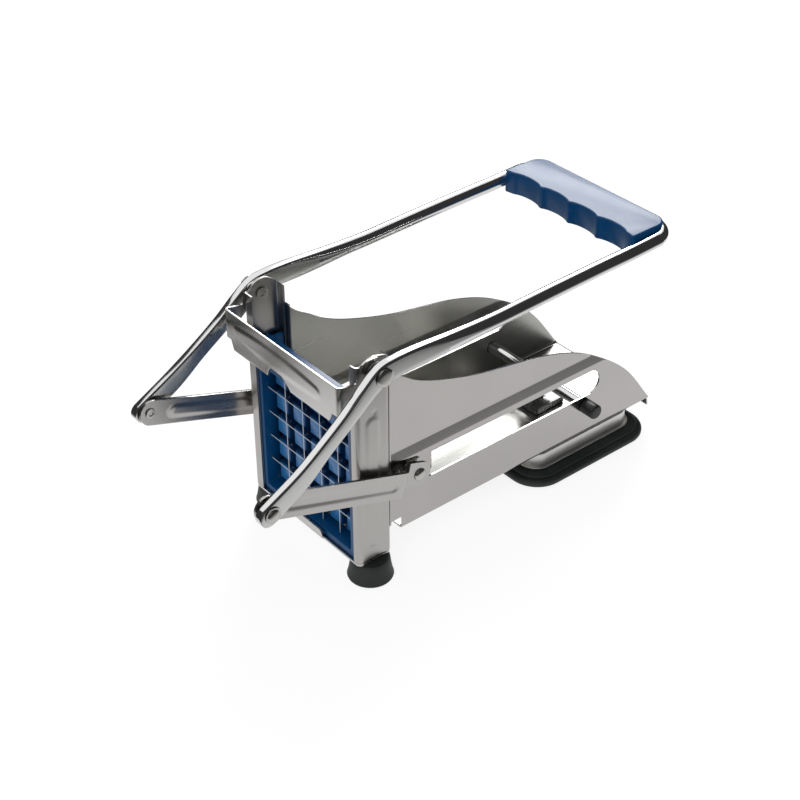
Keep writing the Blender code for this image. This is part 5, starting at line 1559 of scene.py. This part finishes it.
@dataclass
class Handle:
    """Bent chromed tube, round behind and flattened into arms in front, with its grip."""

    finishes: Finishes
    radius: float = 4.05
    span: float = 52.5
    cross_bar: float = 203.6
    corner: float = 14.0
    height: float = 137.0
    pivot: tuple[float, float] = PIVOT
    crank: tuple[float, float] = CRANK
    kink: tuple[float, float] = (-47.6, 95.0)
    crank_span: float = 54.6
    # Round part of the arm as (x, z)
    arm: tuple[tuple[float, float], ...] = ((171.0, 136.2), (149.0, 135.8), (120.0, 135.0), (96.0, 134.2),
                                            (79.0, 133.6))
    # Flattened part as (x, z, half depth, half thickness, power, hollow)
    flat: tuple[tuple[float, ...], ...] = (
        (66.0, 133.5, 4.2, 3.95, 2.1, 0.0), (55.0, 133.4, 4.6, 3.7, 2.4, 0.05), (44.0, 133.3, 5.1, 3.4, 2.9, 0.1),
        (33.0, 133.4, 5.6, 3.1, 3.6, 0.15), (22.0, 133.6, 5.8, 3.0, 4.2, 0.18), (12.0, 133.4, 5.8, 2.95, 4.6, 0.18),
    )
    spans: int = 10

    def stations(self, side: Side) -> list[tuple[Vector, float, float, float, float]]:
        """Keys of one half of the tube: (centre, half depth, half thickness, power, hollow).

        Args:
            side: Side of the machine.

        Returns:
            The keys from the cross bar to the end of the arm.
        """
        r, span = self.radius, self.span
        keys = [(Vector((self.cross_bar, y, self.height)), r, r, 2.0, 0.0) for y in (0.0, 20.0)]
        middle = Vector((self.cross_bar - self.corner, span - self.corner, self.height))
        for step in range(7):
            angle = math.pi / 2 * step / 6
            keys.append((middle + Vector((math.cos(angle), math.sin(angle), 0.0)) * self.corner, r, r, 2.0, 0.0))
        keys += [(Vector((x, span, z)), r, r, 2.0, 0.0) for x, z in self.arm]
        keys += [(Vector((x, span, z)), *section) for x, z, *section in self.flat]
        hub = Vector((self.pivot[0], span, self.pivot[1]))
        kink = Vector((self.kink[0], self.crank_span, self.kink[1]))
        keys.append((hub, 5.8, 2.95, 4.8, 0.18))
        keys.append((hub.lerp(kink, 0.16) + Vector((-0.7, 0.0, 0.4)), 5.1, 2.9, 4.6, 0.18))
        keys.append((hub.lerp(kink, 0.4), 4.5, 2.9, 4.4, 0.18))
        keys.append((hub.lerp(kink, 0.7), 4.5, 2.8, 4.4, 0.18))
        keys.append((kink, 5.5, 2.6, 5.0, 0.15))
        crank = Vector((self.crank[0], self.crank_span, self.crank[1]))
        keys.append((crank, 5.8, 2.5, 5.0, 0.1))
        run = (crank - kink).normalized()
        for step in range(1, 7):
            angle = math.pi / 2 * step / 6.4
            keys.append((crank + run * (1.6 + 5.6 * math.sin(angle)), 5.8 * math.cos(angle) ** 0.8, 2.5, 5.0, 0.0))
        if side is Side.RIGHT:
            keys = [(Vector((c.x, -c.y, c.z)), d, t, p, h) for c, d, t, p, h in keys]
        return keys

    def ring(self, centre: Vector, along: Vector, depth: float, half: float, power: float,
             hollow: float) -> list[Vector]:
        """Points of the tube's section at one station.

        Args:
            centre: Middle of the section.
            along: Direction of the tube there.
            depth: Half of its height.
            half: Half of its thickness.
            power: Two for an oval, more for a squarer section.
            hollow: How far its flat sides are sunk.

        Returns:
            Points of the ring.
        """
        across = along.cross(Vector((0.0, 0.0, 1.0))).normalized()
        up = across.cross(along).normalized()
        points = []
        for step in range(ROUND_STEPS):
            angle = 2 * math.pi * step / ROUND_STEPS
            x, y = math.cos(angle), math.sin(angle)
            x = math.copysign(abs(x) ** (2 / power), x)
            y = math.copysign(abs(y) ** (2 / power), y)
            sunk = hollow * ease((0.86 - abs(x)) / 0.24)
            out = max(abs(y * half) - sunk * abs(y), 0.0)
            points.append(centre + up * (x * depth) + across * math.copysign(out, y))
        return points

    def build(self, bench: Bench) -> None:
        """Make the tube, the grip and the rivets in the arms' ends.

        Args:
            bench: Bench that shapes and fits the pieces.
        """
        keys = self.stations(Side.RIGHT)[::-1] + self.stations(Side.LEFT)[1:]
        rows = [(*key[0], *key[1:]) for key in keys]
        dense: list[tuple[float, ...]] = []
        for place in range(7):
            column = flowing([(index, row[place]) for index, row in enumerate(rows)], self.spans)
            dense = [(*(dense[i] if place else ()), point[1]) for i, point in enumerate(column)]
        rings = []
        for index, row in enumerate(dense):
            before, after = dense[max(index - 1, 0)], dense[min(index + 1, len(dense) - 1)]
            along = (Vector(after[:3]) - Vector(before[:3])).normalized()
            rings.append(self.ring(Vector(row[:3]), along, max(row[3], 0.4), row[4], row[5], max(row[6], 0.0)))
        tube = bench.loft("handle_tube_skin", rings)
        bench.combine(tube, bench.bores(PIVOT_BORE, *self.pivot), bench.bores(CRANK_BORE, *self.crank))
        bench.fit(tube, self.finishes.chrome, "handle", "handle_tube", angle=FIRM_ANGLE, even=True)
        bench.second(tube, self.finishes.satin, lambda centre, normal: abs(normal.y) > 0.93 and centre.x < -0.118)
        Grip(self.finishes).build(bench)
        for side in Side:
            outer = self.crank_span + 2.8
            profile = [(0.0, outer + 1.5), (1.4, outer + 1.44), (2.6, outer + 1.2), (3.3, outer + 0.75),
                       (3.45, outer + 0.35), (4.35, outer + 0.3), (4.5, outer + 0.15), (4.5, outer),
                       (2.4, outer), (2.4, outer - 5.9), (4.4, outer - 5.9), (4.4, outer - 6.1),
                       (0.0, outer - 6.1)]
            rivet = bench.turned("crank_head_" + side.word, profile, (self.crank[0], 0.0, self.crank[1]),
                                 Plane.XZ, side)
            bench.fit(rivet, self.finishes.zinc, "handle", "crank_rivet_" + side.word)


@dataclass
class Grip:
    """Moulded grip over the handle's cross bar, with four hollows for the fingers."""

    finishes: Finishes
    front: float = 176.0
    rear: float = 203.6
    half: float = 50.0
    low: float = 130.0
    top: float = 143.6
    pitch: float = 22.0
    hollows: int = 4
    depth: float = 3.4
    steps: int = 16
    front_corner: float = 1.4
    rear_corner: float = 8.5

    def build(self, bench: Bench) -> None:
        """Make the grip.

        Args:
            bench: Bench that shapes and fits the pieces.
        """
        points = rounded([(self.front, -self.half, self.front_corner), (self.rear, -self.half, self.rear_corner),
                          (self.rear, self.half, self.rear_corner), (self.front, self.half, self.front_corner)], 9)
        start = self.pitch * self.hollows / 2
        for hollow in range(self.hollows):
            for step in range(self.steps):
                t = (step + 0.5) / self.steps
                depth = self.depth * math.sqrt(math.sin(math.pi * t))
                points.append(Vector((self.front + depth, start - self.pitch * (hollow + t))))
        grip = bench.slab("handle_grip_moulding", points, Plane.XY, self.low, self.top - self.low)
        bench.soften(grip, 1.5, 4, 60.0)
        bench.fit(grip, self.finishes.navy, "handle", "handle_grip", angle=FIRM_ANGLE)


@dataclass
class Links:
    """Joggled links with a pressed channel, from the handle's cranks to the pusher's pins."""

    finishes: Finishes
    pin: tuple[float, float] = PIN
    crank: tuple[float, float] = CRANK
    width: float = 14.5
    sheet: float = 1.5
    span: float = 49.5
    eye_span: float = 41.4
    overhang: float = 5.7
    # How far the channel's ends stand off the crank and off the pin
    channel: tuple[float, float] = (15.0, 25.0)
    channel_depth: float = 0.6

    @property
    def run(self) -> Vector:
        """Line from the pusher's pin to the handle's crank."""
        return Vector(self.crank) - Vector(self.pin)

    def relief(self, spot: Vector) -> Vector:
        """Shift of the link at a spot, for its pressed channel.

        Args:
            spot: Point of the bare sheet.

        Returns:
            The shift.
        """
        rear, front = self.channel
        sunk = ridge((rear - self.run.length, 0.0), (-front, 0.0), 1.4, 3.0, (spot.x, spot.z))
        return Vector((0.0, -self.channel_depth * sunk, 0.0))

    def build(self, bench: Bench) -> None:
        """Make both links and the rivet tails that stay in them.

        Args:
            bench: Bench that shapes and fits the pieces.
        """
        length, angle = self.run.length, math.atan2(self.run.y, -self.run.x)
        half, mid = self.width / 2, self.sheet / 2
        for side in Side:
            line = rounded([(half, self.eye_span + mid, 0.0), (-9.5, self.eye_span + mid, 4.0),
                            (-17.5, self.span + mid, 4.0), (-length - half, self.span + mid, 0.0)], 6, closed=False)
            link = bench.folded("link_" + side.word + "_strip", evened(line, 1.2), Plane.XY, -half, self.width,
                                26, self.sheet, self.relief)
            outline = rectangle((-length - self.overhang, -half), (half, half), half * 0.999, 14)
            bench.combine(link, bench.slab("side", outline, Plane.XZ, 30.0, 40.0), how="INTERSECT")
            bench.combine(link, bench.rod("eye", PIN_BORE, (0.0, 30.0, 0.0), (0.0, 60.0, 0.0)),
                          bench.rod("eye", CRANK_BORE, (-length, 30.0, 0.0), (-length, 60.0, 0.0)))
            bench.soften(link, 0.2)
            link.data.transform(Matrix.Translation((self.pin[0], 0.0, self.pin[1]))
                                @ Matrix.Rotation(angle, 4, "Y"))
            if side is Side.RIGHT:
                bench.mirrored(link)
            body = side.word + "_link"
            bench.fit(link, self.finishes.link, body, "link_" + side.word)
            outer, inner = self.span + self.sheet, self.span - GAP
            tail = [(0.0, outer), (2.4, outer), (2.4, inner), (2.7, inner), (2.8, inner - 0.15),
                    (2.6, inner - 0.55), (1.5, inner - 0.6), (1.1, inner - 0.1), (0.0, inner - 0.1)]
            rivet = bench.turned("link_tail_" + side.word, tail, (self.crank[0], 0.0, self.crank[1]), Plane.XZ, side)
            bench.fit(rivet, self.finishes.zinc, body, "link_rivet_tail_" + side.word)


@dataclass
class Pivots:
    """Bolts and spacers that the handle and the strap turn on."""

    finishes: Finishes
    pivot: tuple[float, float] = PIVOT
    arm_outer: float = 55.5
    web_inner: float = 44.8
    spacer: tuple[float, float] = (47.7, 49.2)

    def build(self, bench: Bench) -> None:
        """Make both bolts and both spacers.

        Args:
            bench: Bench that shapes and fits the pieces.
        """
        centre = (self.pivot[0], 0.0, self.pivot[1])
        for side in Side:
            outer, inner = self.arm_outer + GAP, self.web_inner - GAP
            profile = [(0.0, outer + 1.5), (2.4, outer + 1.45), (4.0, outer + 1.25), (4.7, outer + 0.9),
                       (5.0, outer + 0.45), (4.9, outer), (2.8, outer), (2.8, inner), (3.4, inner),
                       (3.3, inner - 0.5), (1.7, inner - 0.5), (1.5, inner - 0.15), (0.0, inner - 0.15)]
            bolt = bench.turned("pivot_head_" + side.word, profile, centre, Plane.XZ, side, 64)
            bench.fit(bolt, self.finishes.zinc, "frame", "pivot_bolt_" + side.word)
            low, high = self.spacer
            ring = [(PIVOT_BORE, high), (5.0, high), (5.2, high - 0.2), (5.2, low + 0.2), (5.0, low),
                    (PIVOT_BORE, low)]
            spacer = bench.turned("pivot_ring_" + side.word, ring, centre, Plane.XZ, side)
            bench.fit(spacer, self.finishes.zinc, "frame", "pivot_spacer_" + side.word)


# Strap

@dataclass
class Strap:
    """Strap across the front: a notched bar with arms back to the pivots."""

    finishes: Finishes
    sheet: float = 1.1
    front: float = -18.6
    outer: float = 47.4
    top: float = 130.2
    low: float = 108.4
    ear: float = 6.8
    rib_rise: float = 0.32
    end_half: float = 38.8
    end_top: float = 5.6
    pivot: tuple[float, float] = PIVOT

    def relief(self, spot: Vector) -> Vector:
        """Shift of the bar at a spot, for its long pressed rib.

        Args:
            spot: Point of the bare sheet.

        Returns:
            The shift.
        """
        lens = max(0.0, 1.0 - ((spot.y - 2.0) / 40.0) ** 2)
        rise = self.rib_rise * ridge((-30.0, 119.5), (36.0, 121.0), 1.2 + 1.6 * lens, 1.6 + 2.2 * lens,
                                     (spot.y, spot.z))
        return Vector((-rise if spot.x < self.front + 2 else 0.0, 0.0, 0.0))

    def build(self, bench: Bench) -> None:
        """Make the strap.

        Args:
            bench: Bench that shapes and fits the pieces.
        """
        half = self.sheet / 2
        rear, wide, front = self.pivot[0] + self.ear, self.outer - half, self.front + half
        line = rounded([(rear, wide, 0.0), (front, wide, 1.9), (front, -wide, 1.9), (rear, -wide, 0.0)], 7,
                       closed=False)
        top = self.pivot[1] + self.ear
        strap = bench.folded("front_strap", evened(line, 1.1), Plane.XY, self.low, top - self.low, 34, self.sheet,
                             self.relief)
        x, z, ear = *self.pivot, self.ear
        back = self.front + 2.4
        profile = rounded([(self.front - 3, self.low - 3, 0.0), (back, self.low - 3, 0.0),
                           (back, self.low + 6.8, 0.0), (x - ear, z - ear, ear), (x + ear, z - ear, ear * 0.99),
                           (x + ear, z + ear, ear * 0.99), (x - ear, z + ear, ear * 0.6),
                           (-7.5, self.top - 2.0, 1.5), (back, self.top, 1.5), (self.front - 3, self.top, 0.0)], 8)
        bench.combine(strap, bench.slab("profile", profile, Plane.XZ, -60.0, 120.0), how="INTERSECT")
        foot = self.low - 3
        notch = rounded([(-11.7, foot, 0.0), (11.5, foot, 0.0), (9.8, self.low + 3.2, 1.6), (8.0, self.low + 5.9, 1.4),
                         (-1.2, self.low + 5.7, 2.2), (-6.0, self.low + 2.6, 2.5)], 6)
        cut = bench.slab("notch", notch, Plane.YZ, self.front - 3, 5.4)
        ends = []
        head = self.low + self.end_top
        for side in Side:
            step = [Vector((side.value * y, up))
                    for y, up in ((self.end_half, foot), (60.0, foot), (60.0, head), (42.0, head))]
            ends.append(bench.slab("end", step, Plane.YZ, self.front - 3, 5.4))
        bench.combine(strap, cut, *ends, bench.bores(PIVOT_BORE, x, z))
        bench.soften(strap, SHEET_EDGE)
        bench.fit(strap, self.finishes.strap, "strap", "cassette_strap")


# Studio

@dataclass(frozen=True)
class Lamp:
    """Square soft lamp, placed and aimed in metres."""

    name: str
    place: Corner
    aim: Corner
    size: float
    power: float

    def build(self) -> None:
        """Hang the lamp in the scene."""
        data = bpy.data.lights.new(self.name, "AREA")
        data.size = self.size
        data.energy = self.power
        lamp = bpy.data.objects.new(self.name, data)
        line = Vector(self.aim) - Vector(self.place)
        lamp.matrix_world = Matrix.Translation(self.place) @ line.to_track_quat("-Z", "Y").to_matrix().to_4x4()
        bpy.context.scene.collection.objects.link(lamp)


@dataclass
class Studio:
    """Pale floor, white surround, soft lamps and the camera."""

    lens: float = 73.4
    sensor: float = 36.0
    spot: Corner = (-0.5557, -0.55301, 0.56548)
    azimuth: float = -39.27
    elevation: float = 35.03
    roll: float = -0.24
    lamps: tuple[Lamp, ...] = (
        Lamp("key_lamp", (0.777, 0.793, 0.82), (0.0, 0.0, 0.1), 0.6, 9.3),
        Lamp("front_lamp", (-0.9, -0.5, 1.0), (0.0, 0.0, 0.06), 0.8, 3.0),
    )
    # Strength of the surround as a light
    fill: float = 0.5
    # The floor: its paper, its glow to the eye, and its glow to the machine near by and far off
    paper: float = 0.25
    seen: float = 0.84
    pale: float = 0.62
    dark: float = 0.05
    # Where the floor's glow fades, as shares of its half length and half width
    fade: tuple[float, float] = (0.95, 1.15)
    reach: tuple[float, float] = (0.4, 0.185)
    # Dark cards as (radius, height in front, height behind), and where their roof ends
    curtain: tuple[float, float, float] = (0.36, 0.5, 0.25)
    canopy: float = 0.03
    card_glow: float = 0.035

    def build(self) -> None:
        """Set up the camera, the world, the floor and the lamps."""
        scene = bpy.context.scene
        scene.view_settings.view_transform = "Standard"
        self.build_camera(scene)
        self.build_world(scene)
        self.build_floor()
        self.build_curtain()
        for lamp in self.lamps:
            lamp.build()

    def build_camera(self, scene: bpy.types.Scene) -> None:
        """Stand the camera where the photograph was taken from.

        Args:
            scene: Scene that gets the camera.
        """
        data = bpy.data.cameras.new("camera")
        data.lens = self.lens
        data.sensor_width = self.sensor
        data.clip_start = 0.01
        camera = bpy.data.objects.new("camera", data)
        az, el, roll = (math.radians(a) for a in (self.azimuth, self.elevation, self.roll))
        look = Vector((math.sin(-az) * math.cos(el), math.cos(az) * math.cos(el), -math.sin(el)))
        right = Vector((math.cos(az), -math.sin(-az), 0.0))
        up = right.cross(look)
        right, up = (math.cos(roll) * right + math.sin(roll) * up, -math.sin(roll) * right + math.cos(roll) * up)
        turn = Matrix((right, up, -look)).transposed().to_4x4()
        camera.matrix_world = Matrix.Translation(self.spot) @ turn
        scene.collection.objects.link(camera)
        scene.camera = camera

    def build_world(self, scene: bpy.types.Scene) -> None:
        """White to the eye and in reflections, softer as a light.

        Args:
            scene: Scene that gets the world.
        """
        world = bpy.data.worlds.new("studio")
        scene.world = world
        world.use_nodes = True
        tree = world.node_tree
        path = tree.nodes.new("ShaderNodeLightPath")
        seen = tree.nodes.new("ShaderNodeMath")
        seen.operation = "MAXIMUM"
        tree.links.new(path.outputs["Is Camera Ray"], seen.inputs[0])
        tree.links.new(path.outputs["Is Glossy Ray"], seen.inputs[1])
        clear = tree.nodes.new("ShaderNodeMath")
        clear.operation = "MAXIMUM"
        tree.links.new(seen.outputs["Value"], clear.inputs[0])
        tree.links.new(path.outputs["Is Transmission Ray"], clear.inputs[1])
        level = tree.nodes.new("ShaderNodeMapRange")
        tree.links.new(clear.outputs["Value"], level.inputs["Value"])
        level.inputs["To Min"].default_value = self.fill
        level.inputs["To Max"].default_value = 1.0
        back = tree.nodes["Background"]
        back.inputs["Color"].default_value = WHITE
        tree.links.new(level.outputs["Result"], back.inputs["Strength"])

    def emitter(self, name: str, strength: float) -> bpy.types.Material:
        """Plain white glowing material for staged cards.

        Args:
            name: Name of the material.
            strength: Strength of its glow.

        Returns:
            The material.
        """
        sheet = NodeSheet(name)
        return sheet.show(sheet.add("Emission", Color=WHITE, Strength=strength).outputs["Emission"])

    def build_floor(self) -> None:
        """Pale table that keeps the shadow and shows white to the eye."""
        shape = bmesh.new()
        bmesh.ops.create_circle(shape, cap_ends=True, segments=96, radius=3.0)
        floor = placed("table", shape)
        floor.location = (0.02, 0.0, -0.0004)
        sheet = NodeSheet("table_paper")
        paper = sheet.add("BsdfDiffuse", Color=(self.paper, self.paper, self.paper, 1.0))
        far = sheet.add("VectorMath")
        far.operation = "LENGTH"
        sheet.give(far.inputs[0], sheet.place((1.0 / self.reach[0], 1.0 / self.reach[1], 1.0)))
        level = sheet.add("Mix")
        level.data_type = "FLOAT"
        sheet.give(level.inputs[0], sheet.add("LightPath").outputs["Is Camera Ray"])
        sheet.give(level.inputs[2], sheet.remap(far.outputs["Value"], *self.fade, self.pale, self.dark))
        sheet.give(level.inputs[3], self.seen)
        glow = sheet.add("Emission", Strength=level.outputs[0])
        both = sheet.add("AddShader")
        sheet.give(both.inputs[0], paper.outputs["BSDF"])
        sheet.give(both.inputs[1], glow.outputs["Emission"])
        floor.data.materials.append(sheet.show(both.outputs["Shader"]))

    def build_curtain(self) -> None:
        """Dark cards round the table that only reflections see."""
        shape = bmesh.new()
        radius, front, back = self.curtain
        bmesh.ops.create_cone(shape, cap_ends=False, segments=96, radius1=radius, radius2=radius, depth=1.0,
                              matrix=Matrix.Translation((0.0, 0.0, 0.5)))
        for vertex in shape.verts:
            share = ease(0.5 + vertex.co.y / radius)
            vertex.co.z *= front + (back - front) * share
        bmesh.ops.create_grid(shape, x_segments=1, y_segments=1, size=0.5,
                              matrix=Matrix.Translation((0.0, self.canopy - 0.5, front)))
        cards = placed("dark_cards", shape)
        cards.data.materials.append(self.emitter("card_black", self.card_glow))
        cards.visible_camera = False
        cards.visible_diffuse = False
        cards.visible_transmission = False
        cards.visible_shadow = False


def main() -> None:
    """Load the frame, dress every piece and set up the studio."""
    logging.basicConfig(level=logging.INFO, format="%(message)s")
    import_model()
    finishes = Finishes()
    bench = Bench(Paints())
    cassette = Cassette(finishes)
    for assembly in (Posts(finishes), FrontFeet(finishes), Chute(finishes), SuctionFoot(finishes), cassette,
                     Pusher(finishes, cassette), Handle(finishes), Links(finishes), Pivots(finishes),
                     Strap(finishes)):
        LOG.info("building %s", type(assembly).__name__)
        assembly.build(bench)
    Studio().build()
    LOG.info("%d pieces", bench.count)


if __name__ == "__main__":
    main()
